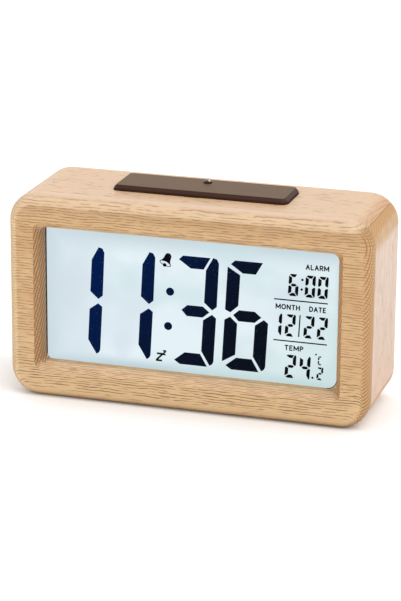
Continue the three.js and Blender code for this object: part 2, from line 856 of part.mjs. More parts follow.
// Hollow bar with a bevelled top, two lugs that stop it under the top board, a post over its switch and
// two seats with pins for the return springs
function snoozeBar() {
  const section = (inset, level) => ({
    outline: moved(
      roundedOutline(barLength - 2 * inset, barDepth - 2 * inset, barCornerRadius - inset, edgeSteps),
      0,
      barMiddleY,
    ),
    level,
  });
  const outside = loft([
    section(0, barSkirtZ),
    section(0, barTopZ - barBevelHeight),
    section(barBevel - barTopEasing, barTopZ - barTopEasing),
    section(barBevel, barTopZ),
  ], alongZ);
  const hollow = loft([
    section(barWall, barSkirtZ - joinLap),
    section(barWall, barRoofZ),
  ], alongZ);
  const lug = (side) => {
    const wall = barLength / 2 - barWall;
    const tip = barLength / 2 + barLugReach;
    const ends = side < 0 ? [-tip, -wall] : [wall, tip];
    const across = [barMiddleY - barLugWidth / 2, barMiddleY + barLugWidth / 2];
    return block(...ends, ...across, barSkirtZ, barSkirtZ + barLugThickness);
  };
  const seat = (side) => {
    const place = [side * springX, barMiddleY];
    return join(
      rodZ(springSeatRadius, barSkirtZ, barRoofZ + joinLap, ...place),
      rodZ(springPinRadius, barSkirtZ - springPinLength, barSkirtZ + joinLap, ...place),
    );
  };
  const post = rodZ(barPostRadius, barPostZ, barRoofZ + joinLap, 0, barPostY);
  const sensorHole = rodZ(
    sensorWindowRadius + slideGap,
    barRoofZ - joinLap,
    barTopZ + joinLap,
    sensorAside,
    sensorY,
    turnSegments,
  );
  return cut(join(cut(outside, hollow), lug(-1), lug(1), seat(-1), seat(1), post), sensorHole);
}

// Clear pipe with a domed top that leads light from the bar to the sensor
function sensorWindow() {
  const flangeTop = barRoofZ - seatGap;
  const foot = snoozeBoardTopZ + photoCellHeight + barTravel + fitGap + seatGap;
  const profile = [
    [0, foot],
    [sensorWindowRadius, foot],
    [sensorWindowRadius, flangeTop - sensorFlangeThickness],
    [sensorFlangeRadius, flangeTop - sensorFlangeThickness],
    [sensorFlangeRadius, flangeTop],
    [sensorWindowRadius, flangeTop],
    ...domeProfile(sensorWindowRadius, barTopZ, sensorDomeRise),
  ];
  return turned(profile);
}

function pushSwitch() {
  const half = switchSize / 2;
  const body = block(-half, half, -half, half, 0, switchHeight);
  const bore = rodZ(plungerRadius + slideGap, switchHeight - switchBoreDepth, switchHeight + joinLap, 0, 0);
  return cut(body, bore);
}

function plunger(rise) {
  return rodZ(plungerRadius, -plungerDepth, rise, 0, 0);
}

function photoCell() {
  const shoulder = photoCellHeight - photoCellRadius;
  return turned([
    [0, 0],
    [photoCellRadius, 0],
    ...domeProfile(photoCellRadius, shoulder, photoCellRadius),
  ], smallSegments);
}

function pegPlaces() {
  const y = snoozeBoardBackY - pegInset;
  return [-1, 1].map((side) => [side * (snoozeBoardLength / 2 - pegInset), y]);
}

function snoozeAssembly() {
  const group = new THREE.Group();
  const boardDepth = snoozeBoardBackY - snoozeBoardFrontY;
  const outline = moved(
    roundedOutline(snoozeBoardLength, boardDepth, boardCornerRadius, smallCornerSteps),
    0,
    snoozeBoardFrontY + boardDepth / 2,
  );
  const pegHoles = pegPlaces().map(([x, y]) => circleOutline(pegRadius + holeGap, smallSegments, x, y));
  const board = plateZ(shapeOf(outline, pegHoles), snoozeBoardZ, snoozeBoardTopZ);
  const onBoard = snoozeBoardTopZ + seatGap;
  add(group, 'snooze_bar', snoozeBar(), barPlastic);
  add(group, 'sensor_window', sensorWindow(), clearPlastic, [sensorAside, sensorY, 0]);
  add(group, 'snooze_circuit_board', board, boardGreen);
  add(group, 'snooze_switch', pushSwitch(), darkPlastic, [0, barPostY, onBoard]);
  add(group, 'snooze_plunger', plunger(snoozePlungerRise), whitePlastic, [0, barPostY, snoozeSwitchTopZ]);
  add(group, 'light_sensor', photoCell(), clearPlastic, [sensorAside, sensorY, onBoard]);
  const footZ = onBoard + springWireRadius;
  const tipZ = barSkirtZ - seatGap - springWireRadius;
  const centres = coilCentres(springRadius, springRadius, springTurns, footZ, tipZ);
  console.log(`return spring: least gap ${leastGap(centres, springWireRadius).toFixed(2)} mm`);
  const spring = coil(centres, springWireRadius);
  add(group, 'snooze_spring_left', spring, steel, [-springX, barMiddleY, 0]);
  add(group, 'snooze_spring_right', spring, steel, [springX, barMiddleY, 0]);
  return group;
}

// Places on the back cover and the key board that more than one piece uses
function buttonHeights() {
  return keyNames.map((name, place) => keyBoardZ + keyEdge + place * buttonPitch);
}

function keyPosts() {
  const columns = [keyBoardLeft + keyPostColumn, keyBoardRight - keyPostInset];
  const rows = [keyBoardZ + keyPostInset, keyBoardTopZ - keyPostInset];
  return columns.flatMap((x) => rows.map((z) => [x, z]));
}

function coverScrewPlaces() {
  const rows = [coverScrewRise, caseHeight - coverScrewRise];
  return rows.flatMap((z) => [[-coverScrewX, z], [coverScrewX, z]]);
}

function cellHeight(place) {
  return bayBottomZ + (place + 0.5) * cellPitch;
}

function soundHolePlaces() {
  const places = [[lightSwitchX, buzzerZ]];
  for (let hole = 0; hole < soundHoles; hole += 1) {
    const angle = (2 * Math.PI * hole) / soundHoles;
    places.push([
      lightSwitchX + soundHoleCircle * Math.cos(angle),
      buzzerZ + soundHoleCircle * Math.sin(angle),
    ]);
  }
  return places;
}

function coverPlate() {
  const outline = roundedOutline(coverWidth, coverHeight, cornerRadius - coverLip - fitGap);
  const holeRadius = buttonRadius + slideGap;
  const buttonHoles = buttonHeights().map((z) => circleOutline(holeRadius, turnSegments, buttonX, z));
  const slotWidth = knobWidth + knobTravel + 2 * slideGap;
  const slotHeight = knobThickness + 2 * slideGap;
  const knobSlot = moved(
    roundedOutline(slotWidth, slotHeight, slideGap, smallCornerSteps),
    lightSwitchX + knobTravel / 2,
    lightSwitchZ,
  );
  const sound = soundHolePlaces().map(([x, z]) => circleOutline(soundHoleRadius, smallSegments, x, z));
  const vents = [];
  for (let vent = 0; vent < ventCount; vent += 1) {
    const x = lightSwitchX + (vent - (ventCount - 1) / 2) * ventPitch;
    vents.push(moved(roundedOutline(ventWidth, ventLength, ventWidth / 2, smallCornerSteps), x, beadZ));
  }
  const holes = [...buttonHoles, knobSlot, ...sound, ...vents];
  return plateY(shapeOf(moved(outline, 0, middleZ), holes), coverInnerY, coverOuterY);
}

// Frame-shaped rib inside the cover that locates it in the case
function coverRib() {
  const width = cavityWidth - 2 * fitGap;
  const height = cavityHeight - 2 * fitGap;
  const outline = roundedOutline(width, height, coverRibCornerRadius, smallCornerSteps);
  const inside = roundedOutline(
    width - 2 * coverRibThickness,
    height - 2 * coverRibThickness,
    coverRibCornerRadius / 2,
    smallCornerSteps,
  );
  const shape = shapeOf(moved(outline, 0, middleZ), [moved(inside, 0, middleZ)]);
  return plateY(shape, coverRibFrontY, coverInnerY + joinLap);
}

function screwSink(x, z) {
  const neck = coverScrewRadius + fitGap;
  const head = coverScrewHeadRadius + holeGap;
  const sink = turned([
    [0, -coverThickness - joinLap],
    [neck, -coverThickness - joinLap],
    [neck, -coverScrewHeadHeight - fitGap],
    [head, -seatGap],
    [head, joinLap],
    [0, joinLap],
  ]);
  return sink.rotateX(-Math.PI / 2).translate(x, coverOuterY, z);
}

// Tub for the cells with three saddles, and the rim in which the door lies
function batteryTub() {
  const tub = block(
    bayLeft - bayWall,
    bayRight + bayWall,
    bayFloorY - bayWall,
    coverInnerY + joinLap,
    bayBottomZ - bayWall,
    bayTopZ + bayWall,
  );
  const rimX = doorWidth / 2 + fitGap + doorRim;
  const rim = block(
    bayMiddleX - rimX,
    bayMiddleX + rimX,
    coverInnerY - doorRimDepth,
    coverInnerY + joinLap,
    doorAxisZ - doorBarrelRadius - fitGap - doorRim / 2,
    doorTopZ + fitGap + doorRim,
  );
  return join(tub, rim);
}

function bayHollows() {
  const open = block(
    bayLeft,
    bayRight,
    bayFloorY + saddleRise,
    coverOuterY + joinLap,
    bayBottomZ,
    bayTopZ,
  );
  const hollows = [open];
  for (let place = 0; place < cellCount; place += 1) {
    hollows.push(rodX(cellRadius + saddleGap, bayLeft, bayRight, cellY, cellHeight(place), turnSegments));
  }
  return hollows;
}

function doorHollows() {
  const half = doorWidth / 2 + fitGap;
  const recess = block(
    bayMiddleX - half,
    bayMiddleX + half,
    doorInnerY - seatGap,
    coverOuterY + joinLap,
    doorAxisZ,
    doorTopZ + fitGap,
  );
  const barrel = doorBarrelRadius + fitGap;
  const bed = join(
    rodX(barrel, bayMiddleX - half, bayMiddleX + half, doorAxisY, doorAxisZ, turnSegments),
    block(
      bayMiddleX - half,
      bayMiddleX + half,
      doorAxisY,
      coverOuterY + joinLap,
      doorAxisZ - barrel,
      doorAxisZ + barrel,
    ),
  );
  const socketReach = half + doorPipLength;
  const sockets = rodX(
    doorPipRadius + slideGap,
    bayMiddleX - socketReach,
    bayMiddleX + socketReach,
    doorAxisY,
    doorAxisZ,
  );
  const scoop = rodY(
    fingerScoopRadius,
    coverOuterY - fingerScoopDepth,
    coverOuterY + joinLap,
    bayMiddleX,
    doorTopZ,
    2 * turnSegments,
  );
  return [recess, bed, sockets, scoop];
}

// Slots in the ends of the tub through which the contacts reach their leads
function tagSlot(x, place) {
  const half = contactTagWidth / 2 + slideGap;
  const middle = cellHeight(place);
  return block(
    x - bayWall - joinLap,
    x + bayWall + joinLap,
    cellY - contactThickness / 2 - slideGap,
    cellY + contactThickness / 2 + slideGap,
    middle - half,
    middle + half,
  );
}

function shelf() {
  const half = snoozeBoardLength / 2 + shelfSideMargin;
  const plate = block(-half, half, shelfFrontY, coverInnerY + joinLap, shelfZ, shelfTopZ);
  const side = [
    [coverInnerY + joinLap, shelfZ + joinLap],
    [coverInnerY - gussetReach, shelfZ + joinLap],
    [coverInnerY - gussetReach, shelfZ],
    [coverInnerY, shelfZ - gussetDrop],
    [coverInnerY + joinLap, shelfZ - gussetDrop],
  ].map(([y, z]) => new THREE.Vector2(y, z));
  const gusset = (x) => plateX(shapeOf(side), x - gussetThickness / 2, x + gussetThickness / 2);
  const pegTopZ = snoozeBoardTopZ + smallBoardThickness;
  const pegs = pegPlaces().map(([x, y]) => rodZ(pegRadius, shelfZ, pegTopZ, x, y));
  return join(plate, gusset(-gussetX), gusset(gussetX), ...pegs);
}

function keyPost(x, z) {
  return join(
    rodY(keyPostRadius, keyBoardFaceY + seatGap, coverInnerY + joinLap, x, z),
    rodY(pegRadius, keyBoardY - smallBoardThickness, keyBoardFaceY + joinLap, x, z),
  );
}

function backCover() {
  const posts = keyPosts().map(([x, z]) => keyPost(x, z));
  const whole = join(coverPlate(), coverRib(), batteryTub(), shelf(), ...posts);
  const sinks = coverScrewPlaces().map(([x, z]) => screwSink(x, z));
  return cut(
    whole,
    ...bayHollows(),
    ...doorHollows(),
    ...sinks,
    tagSlot(bayLeft, 0),
    tagSlot(bayRight, cellCount - 1),
  );
}

// Door that swings down on two pips, with a springy tongue at its top edge
function batteryDoor() {
  const half = doorWidth / 2;
  const sides = [bayMiddleX - half, bayMiddleX + half];
  const plate = block(...sides, doorInnerY, coverOuterY, doorAxisZ, doorTopZ);
  const barrel = rodX(doorBarrelRadius, ...sides, doorAxisY, doorAxisZ, turnSegments);
  const pipReach = half + fitGap + doorPipLength - slideGap;
  const pips = rodX(doorPipRadius, bayMiddleX - pipReach, bayMiddleX + pipReach, doorAxisY, doorAxisZ);
  const slit = (side) => {
    const x = bayMiddleX + side * (tongueWidth + tongueSlit) / 2;
    return block(
      x - tongueSlit / 2,
      x + tongueSlit / 2,
      doorInnerY - joinLap,
      coverOuterY + joinLap,
      doorTopZ - tongueLength,
      doorTopZ + joinLap,
    );
  };
  const ribs = [];
  for (let rib = 0; rib < tongueRibs; rib += 1) {
    const z = doorTopZ - (rib + 1) * tongueRibPitch;
    ribs.push(block(
      bayMiddleX - tongueWidth / 2 + tongueRibWidth,
      bayMiddleX + tongueWidth / 2 - tongueRibWidth,
      coverOuterY - joinLap,
      coverOuterY + tongueRibHeight,
      z - tongueRibWidth / 2,
      z + tongueRibWidth / 2,
    ));
  }
  return cut(join(plate, barrel, pips, ...ribs), slit(-1), slit(1));
}

// A cell along Z with its nub at the top
function cell() {
  const can = cellLength - cellNubLength;
  const nubEdge = cellEdge / 2;
  return turned([
    [0, 0],
    [cellRadius - cellEdge, 0],
    [cellRadius, cellEdge],
    [cellRadius, can - cellEdge],
    [cellRadius - cellEdge, can],
    [cellNubRadius, can],
    [cellNubRadius, cellLength - nubEdge],
    [cellNubRadius - nubEdge, cellLength],
    [0, cellLength],
  ], cellSegments);
}

// Contact plate on an end wall of the bay, over one cell or two, with a spring for one of them
function contact(side, firstCell, lastCell, springCell, tagCell) {
  const wallX = side < 0 ? bayLeft + seatGap : bayRight - seatGap;
  const faceX = wallX - side * contactThickness;
  const [fromX, toX] = [wallX, faceX].sort((a, b) => a - b);
  const lowZ = cellHeight(firstCell) - contactHeight / 2;
  const highZ = cellHeight(lastCell) + contactHeight / 2;
  const frontEdgeY = bayFloorY + saddleRise + seatGap;
  const outline = moved(
    roundedOutline(doorInnerY - fitGap - frontEdgeY, highZ - lowZ, contactCornerRadius, smallCornerSteps),
    (doorInnerY - fitGap + frontEdgeY) / 2,
    (lowZ + highZ) / 2,
  );
  const pieces = [plateX(shapeOf(outline), fromX, toX)];
  if (springCell !== null) {
    const centres = coilCentres(
      cellSpringBaseRadius,
      cellSpringTipRadius,
      cellSpringTurns,
      0,
      cellSpringLength - cellSpringWireRadius,
    );
    console.log(`cell spring: least gap ${leastGap(centres, cellSpringWireRadius).toFixed(2)} mm`);
    const spring = coil(centres, cellSpringWireRadius);
    spring.rotateY(-side * Math.PI / 2).translate(faceX, cellY, cellHeight(springCell));
    pieces.push(spring);
  }
  if (tagCell !== null) {
    const middle = cellHeight(tagCell);
    const tagEnds = [faceX, wallX + side * (bayWall + contactTagReach)].sort((a, b) => a - b);
    pieces.push(block(
      ...tagEnds,
      cellY - contactThickness / 2,
      cellY + contactThickness / 2,
      middle - contactTagWidth / 2,
      middle + contactTagWidth / 2,
    ));
  }
  return join(...pieces);
}

function coverScrew() {
  const screw = turned([
    [0, -coverScrewLength],
    [coverScrewRadius, -coverScrewLength + coverScrewTip],
    [coverScrewRadius, -coverScrewHeadHeight],
    [coverScrewHeadRadius, 0],
    [0, 0],
  ], smallSegments);
  const slot = (reachX, reachY) => block(-reachX, reachX, -reachY, reachY, -screwSlotDepth, joinLap);
  const slotHalf = screwSlotWidth / 2;
  return cut(screw, slot(screwSlotReach, slotHalf), slot(slotHalf, screwSlotReach));
}

function power() {
  const group = new THREE.Group();
  const lastCell = cellCount - 1;
  for (let place = 0; place < cellCount; place += 1) {
    const nubLeft = place % 2 === 0;
    const inset = contactThickness + 2 * seatGap;
    const nubX = nubLeft ? bayLeft + inset : bayRight - inset;
    const flatX = nubLeft ? nubX + cellLength : nubX - cellLength;
    const battery = add(group, `battery_${place + 1}`, cell(), cellJacket, [flatX, cellY, cellHeight(place)]);
    battery.rotation.y = nubLeft ? -Math.PI / 2 : Math.PI / 2;
  }
  add(group, 'positive_contact', contact(-1, 0, 0, null, 0), steel);
  add(group, 'lower_link_contact', contact(1, 0, 1, 0, null), steel);
  add(group, 'upper_link_contact', contact(-1, 1, lastCell, 1, null), steel);
  add(group, 'negative_contact', contact(1, lastCell, lastCell, lastCell, lastCell), steel);

  const startY = cellY - contactThickness / 2 - leadEndGap;
  const endY = mainBoardBackY + leadEndGap;
  const lead = (startX, startZ, aside, rise) => new THREE.CatmullRomCurve3([
    new THREE.Vector3(startX, startY, startZ),
    new THREE.Vector3(startX, bayFloorY - bayWall - 2 * leadRadius, startZ),
    new THREE.Vector3(startX + aside / 2, (bayFloorY + endY) / 2, startZ + rise / 2),
    new THREE.Vector3(startX + aside, endY + leadStraight, startZ + rise),
    new THREE.Vector3(startX + aside, endY, startZ + rise),
  ]);
  const leadOutline = circleOutline(leadRadius, leadSides);
  const tagMiddle = bayWall + contactTagReach - leadRadius - seatGap;
  const red = lead(bayLeft - tagMiddle, cellHeight(0), redLeadAside, redLeadRise);
  const black = lead(bayRight + tagMiddle, cellHeight(lastCell), blackLeadAside, blackLeadRise);
  add(group, 'battery_lead_red', swept(leadOutline, red), redSleeve);
  add(group, 'battery_lead_black', swept(leadOutline, black), blackSleeve);
  return group;
}

// A round key with a flange behind the cover and a dished face
function button() {
  const height = coverOuterY + buttonProud - buttonBaseY;
  return turned([
    [0, 0],
    [buttonFlangeRadius, 0],
    [buttonFlangeRadius, buttonFlangeThickness],
    [buttonRadius, buttonFlangeThickness],
    [buttonRadius, height - buttonEdge],
    [buttonRadius - buttonEdge, height],
    [buttonRadius - 2 * buttonEdge, height],
    [0, height - buttonDish],
  ]);
}

// Knob of the light switch, drawn from above: a stem, a shoulder and a grooved finger piece
function lightSwitchKnob() {
  const tip = coverOuterY + knobProud;
  const foot = keyBoardFaceY + seatGap + lightSwitchHeight - lightSwitchPocket + fitGap;
  const shoulder = coverInnerY - knobTravel / 2;
  const points = [
    [-knobStemWidth / 2, foot],
    [knobStemWidth / 2, foot],
    [knobStemWidth / 2, shoulder],
    [knobWidth / 2, shoulder],
    [knobWidth / 2, tip],
  ];
  const pitch = knobWidth / (2 * knobGrooves + 1);
  for (let groove = 0; groove < knobGrooves; groove += 1) {
    const right = knobWidth / 2 - (2 * groove + 1) * pitch;
    points.push([right, tip], [right, tip - knobGrooveDepth]);
    points.push([right - pitch, tip - knobGrooveDepth], [right - pitch, tip]);
  }
  points.push([-knobWidth / 2, tip], [-knobWidth / 2, shoulder], [-knobStemWidth / 2, shoulder]);
  const outline = points.map(([x, y]) => new THREE.Vector2(lightSwitchX + x, y));
  return plateZ(shapeOf(outline), lightSwitchZ - knobThickness / 2, lightSwitchZ + knobThickness / 2);
}

function lightSwitchHousing() {
  const baseY = keyBoardFaceY + seatGap;
  const topY = baseY + lightSwitchHeight;
  const middleX = lightSwitchX + knobTravel / 2;
  const body = block(
    middleX - lightSwitchWidth / 2,
    middleX + lightSwitchWidth / 2,
    baseY,
    topY,
    lightSwitchZ - lightSwitchDepth / 2,
    lightSwitchZ + lightSwitchDepth / 2,
  );
  const pocket = block(
    lightSwitchX - knobStemWidth / 2 - slideGap,
    lightSwitchX + knobStemWidth / 2 + knobTravel + slideGap,
    topY - lightSwitchPocket,
    topY + joinLap,
    lightSwitchZ - knobThickness / 2 - slideGap,
    lightSwitchZ + knobThickness / 2 + slideGap,
  );
  return cut(body, pocket);
}

function buzzer() {
  const height = coverInnerY - fitGap - keyBoardFaceY - seatGap;
  return turned([
    [0, 0],
    [buzzerRadius, 0],
    [buzzerRadius, height],
    [buzzerHoleRadius, height],
    [buzzerHoleRadius, height - buzzerHoleDepth],
    [0, height - buzzerHoleDepth],
  ]);
}

function temperatureBead() {
  const middle = beadStemLength + beadRadius;
  return turned([
    [0, 0],
    [beadStemRadius, 0],
    [beadStemRadius, beadStemLength],
    ...domeProfile(beadRadius, middle, beadRadius),
  ], smallSegments);
}

function backAssembly() {
  const group = new THREE.Group();
  add(group, 'back_cover', backCover(), coverPlastic);
  add(group, 'battery_door', batteryDoor(), coverPlastic);
  coverScrewPlaces().forEach(([x, z], place) => {
    const screw = add(group, `cover_screw_${place + 1}`, coverScrew(), steel, [x, coverOuterY, z]);
    screw.rotation.x = -Math.PI / 2;
  });

  const outline = moved(
    roundedOutline(keyBoardWidth, keyBoardHeight, boardCornerRadius, smallCornerSteps),
    (keyBoardLeft + keyBoardRight) / 2,
    (keyBoardZ + keyBoardTopZ) / 2,
  );
  const holes = keyPosts().map(([x, z]) => circleOutline(pegRadius + holeGap, smallSegments, x, z));
  add(group, 'key_circuit_board', plateY(shapeOf(outline, holes), keyBoardY, keyBoardFaceY), boardGreen);

  buttonHeights().forEach((z, place) => {
    const name = keyNames[place];
    const pieces = [
      add(group, `${name}_button`, button(), barPlastic, [buttonX, buttonBaseY, z]),
      add(group, `${name}_plunger`, plunger(keyPlungerRise), whitePlastic, [buttonX, keySwitchFaceY, z]),
      add(group, `${name}_switch`, pushSwitch(), darkPlastic, [buttonX, keyBoardFaceY + seatGap, z]),
    ];
    pieces.forEach((piece) => piece.rotateX(-Math.PI / 2));
  });

  const onBoard = keyBoardFaceY + seatGap;
  add(group, 'light_switch_housing', lightSwitchHousing(), steel);
  add(group, 'light_switch_knob', lightSwitchKnob(), barPlastic);
  add(group, 'buzzer', buzzer(), resinBlack, [lightSwitchX, onBoard, buzzerZ]).rotation.x = -Math.PI / 2;
  const beadPlace = [lightSwitchX, onBoard, beadZ];
  const bead = add(group, 'temperature_sensor', temperatureBead(), resinBlack, beadPlace);
  bead.rotation.x = -Math.PI / 2;
  return group;
}

// Flat ribbons that join the key board and the snooze board to the main board
function ribbons() {
  const group = new THREE.Group();
  const outline = [
    [-ribbonWidth / 2, -ribbonThickness / 2],
    [ribbonWidth / 2, -ribbonThickness / 2],
    [ribbonWidth / 2, ribbonThickness / 2],
    [-ribbonWidth / 2, ribbonThickness / 2],
  ].map(([u, v]) => new THREE.Vector2(u, v));
  const onMainBoard = mainBoardBackY + leadEndGap;
  const keyX = keyBoardRight - ribbonWidth;
  const keyZ = keyBoardZ + keyBoardHeight / 2;
  const fromKeys = keyBoardY - leadEndGap;
  const bend = (fromKeys - onMainBoard) / 2;
  const keyCurve = new THREE.CubicBezierCurve3(
    new THREE.Vector3(keyX, fromKeys, keyZ),
    new THREE.Vector3(keyX, fromKeys - bend, keyZ),
    new THREE.Vector3(keyX, onMainBoard + bend, keyZ - ribbonDrop),
    new THREE.Vector3(keyX, onMainBoard, keyZ - ribbonDrop),
  );
  const snoozeX = snoozeBoardLength / 4;
  const snoozeY = snoozeBoardFrontY + snoozeBoardOverhang / 2;
  const underBoard = snoozeBoardZ - leadEndGap;
  const endZ = underBoard - ribbonDrop;
  const snoozeCurve = new THREE.CubicBezierCurve3(
    new THREE.Vector3(snoozeX, snoozeY, underBoard),
    new THREE.Vector3(snoozeX, snoozeY, endZ),
    new THREE.Vector3(snoozeX, snoozeY, endZ),
    new THREE.Vector3(snoozeX, onMainBoard, endZ),
  );
  add(group, 'key_ribbon', swept(outline, keyCurve), ribbonGrey);
  add(group, 'snooze_ribbon', swept(outline, snoozeCurve), ribbonGrey);
  return group;
}

clock.add(woodenCase(), display(), snoozeAssembly(), backAssembly(), power(), ribbons());

export default clock;
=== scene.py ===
import math

import bmesh
import bpy
from mathutils import Matrix, Vector


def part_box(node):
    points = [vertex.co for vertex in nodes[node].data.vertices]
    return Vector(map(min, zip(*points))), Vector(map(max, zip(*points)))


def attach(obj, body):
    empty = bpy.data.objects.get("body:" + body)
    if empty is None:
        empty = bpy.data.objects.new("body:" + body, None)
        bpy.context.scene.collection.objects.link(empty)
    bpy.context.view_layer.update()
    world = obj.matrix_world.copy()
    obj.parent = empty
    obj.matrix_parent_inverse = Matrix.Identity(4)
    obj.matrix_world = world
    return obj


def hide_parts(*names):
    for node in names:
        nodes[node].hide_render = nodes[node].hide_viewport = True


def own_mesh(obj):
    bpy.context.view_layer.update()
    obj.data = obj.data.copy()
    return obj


# Looks of a wooden digital alarm clock: beech boards, a lit segment display, a plastic snooze bar and a
# moulded back. Lengths are in millimetres until they reach Blender, which works in metres.

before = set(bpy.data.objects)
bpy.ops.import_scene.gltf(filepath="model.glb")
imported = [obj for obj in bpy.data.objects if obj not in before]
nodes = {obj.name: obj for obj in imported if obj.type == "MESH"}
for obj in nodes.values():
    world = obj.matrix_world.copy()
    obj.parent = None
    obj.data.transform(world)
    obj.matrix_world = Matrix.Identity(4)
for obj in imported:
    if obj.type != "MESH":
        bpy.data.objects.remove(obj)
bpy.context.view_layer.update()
MM = 0.001

# Camera
CAMERA_PLACE = (251.6, -832.445, 314.1)
CAMERA_YAW = 16.86
CAMERA_PITCH = 17.73
CAMERA_ROLL = 0.46
CAMERA_LENS = 149.9
CAMERA_NEAR = 10

# Light and floor
WORLD_STRENGTH = 1.08
KEY_STRENGTH = 0.85
KEY_FROM = (0.5, -0.2, 0.85)
KEY_SOFTNESS = 50
FLOOR_REACH = 4000
FLOOR_DROP = 0.1
FLOOR_TONE = 0.97

# Limits are two values, and where four are given the last two are what they lead to instead of 0 and 1.
# Lengths of a mark are along the grain and in two directions across it, or along x, y and z.

# Values between which most of a noise lies
NOISE_SPAN = (0.3, 0.7)

# Wood: distances between its rays and between its rings, how thick these lines are and how they waver
RAY_SPACING = 1.0
RAY_THICKNESS = 0.58
RING_SPACING = 1.1
RING_THICKNESS = 0.5
SLOW_WAVER = (18, 7, 7)
SLOW_SHIFT = 1.1
QUICK_WAVER = (4.2, 1.4, 3)
QUICK_SHIFT = 0.42
RING_WAVER = (60, 14, 9)
RING_SHIFT = 0.8
CROSSING_TURN = (0.98, 0.87)
END_RAYS = 0.6

# Wood: lengths of its other marks, and the limits between which a noise becomes a mark
STREAK_LENGTHS = (5.6, 0.8, 5)
STREAK_SPAN = (0.38, 0.54)
FLECK_LENGTHS = (5, 0.8, 0.8)
FLECK_SPAN = (0.6, 0.7)
FIBRE_LENGTHS = (9, 0.5, 0.5)
FIBRE_SPAN = (0.3, 0.72, 0.0, 0.45)
CLOUD_LENGTHS = (55, 9, 9)
FRAY_LENGTHS = (5, 5, 5)
FRAY = 0.35

# Wood: heights and turns of its surface between which its tone changes
# Towards the foot the wood turns to its foot tone: on the front board a paler tone, painted light from the
# floor; on the other boards a darker one
FOOT_SHADE = (30, 3)
END_TURN = (0.25, 0.7)
NO_SHOULDER = (0, 1, 0.0, 0.0)
# Surfaces that face up take the top tone, painted light from above
TOP_RISE = (0.3, 0.95)

# Wood: its gloss, and the depth of its marks
WOOD_ROUGHNESS = 0.42
END_ROUGHER = 0.25
WOOD_COAT = 0.25
COAT_ROUGHNESS = 0.28
MARK_DEPTH = 0.04

# Front board: places and turns of its surface between which its tone changes, and shares of such a change.
# Most of these tones are painted light and painted shade, as said at each below.
WINDOW_HEAD = (66, 68)
RECESS_REACH = 59.0
# The crown is the rounded top edge: its paler crown and flat tones are a painted highlight of the light from
# above
CROWN_RISE = (0.06, 0.28)
CROWN_TURN = 0.95
# Painted shade: a darker band on the flat face just under the crown, between these heights and of this share
CROWN_SHADE = (66.5, 72.4)
CROWN_SHARE = 0.16
FLAT_RISE = (0.8, 0.95)
# The rounded left edge takes a paler tone, painted light, with fainter marks
LEFT_TURN = (-0.08, -0.35)
# The bevel and the sill of the window take paler tones, painted light
BEVEL_RISE = (0.35, 0.6)
SILL_RISE = (0.75, 0.95)
# Painted shade: a dark line at the back of the sill, where it meets the display
SILL_BACK = (-16.0, -15.2, 0.0, 0.3)
# Painted shade on the end grain of the window's jambs: on the left jamb, none on the right
JAMB_SHADE = (30, -30, 0.0, 0.15)
# The underside of the lower front edge takes a darker tone, painted shade
UNDER_RISE = (-0.3, -0.95)
UNDER_HEIGHT = (12, 8)

# Front board: where its marks are stronger or fainter
FOOT_MARKS = (24, 8, 1.0, 1.3)
CROWN_FADE = 0.2
LEFT_FADE = 0.25
JAMB_FADE = 0.3

# Front board: slanting lines on the jambs of its window, lines along the sill and a broken seam at its crown
JAMB_LEAN = (2.7, -0.9)
JAMB_WAVER = (4, 4, 9)
JAMB_SWING = 1.6
JAMB_SPACING = 3.0
JAMB_THICKNESS = 0.7
JAMB_MARKS = 0.9
SILL_SPACING = 2.3
SILL_THICKNESS = 0.6
SILL_MARKS = 0.4
SEAM_RISE = 0.84
SEAM_REACH = 0.09
SEAM_SHARE = 0.22
SEAM_LENGTHS = (18, 50, 50)
SEAM_BREAKS = (0.35, 0.55)

# Moulded plastic: its texture and clouds, and how much they change tone and gloss
TEXTURE_LENGTHS = (0.35, 0.35, 0.35)
TEXTURE_DEPTH = 0.012
TEXTURE_GLOSS = 0.06
MOULD_CLOUDS = (14, 14, 14)
MOULD_TONES = (0.88, 1.12)
# Turns between which the snooze bar goes from its darker sides, painted shade, to its top
BAR_TOP_RISE = (0.75, 0.97)

# Metal: its draw marks
DRAW_LENGTHS = (0.25, 0.25, 1.6)
DRAW_TONE = 0.8
DRAW_GLOSS = (-0.08, 0.1)

# Circuit boards: distance between tracks, size of a field of tracks that run one way, and the tracks' edges
TRACK_PITCH = 0.55
TRACK_FIELD = 4.5
TRACK_EDGE = (0.24, 0.32)
TRACK_DEPTH = 0.02

# Clear pieces: flow marks and how much they change the gloss, and how much of the lens shows
FLOW_LENGTHS = (6, 6, 6)
FLOW_GLOSS = 0.03
LENS_ALPHA = 0.01

# Sensor window: the direction of its painted glint and the turns between which the glint shows, the turns
# between which its foot of painted shade turns to its middle tone, and its shine
GLINT_TOWARDS = (0.42, -0.22, 0.88)
GLINT_TURN = (0.965, 0.99)
DOME_RISE = (0.5, 0.95)
DOME_SHINE = 0.22

# Cells: length of the pale band, scuffs of the sleeve, and the turn from which an end is bare
CELL_BAND = 9.0
SCUFF_LENGTHS = (3, 1, 1)
SCUFF_SPAN = (0.45, 0.7, 0.0, 0.4)
CELL_END_TURN = 0.9

# Softened edges of moulded pieces, the angles from which an edge is softened or stays sharp, and the distance
# within which corners become one
SOFT_EDGES = {"back_cover": 0.2, "battery_door": 0.25, "snooze_bar": 0.12, "light_switch_knob": 0.1}
SOFT_STEPS = 2
SOFT_FROM = 40
SHARP_FROM = 35
WELD_REACH = 0.001

# Display, seen from the front: x to the right, z up. Its prints lie between the lens and the front glass.
INK_FRONT = -12.44
INK_BACK = -12.41
WINDOW_LOW = (-55.7, 12.0)
WINDOW_HIGH = (55.7, 64.5)
WINDOW_RADIUS = 2.6

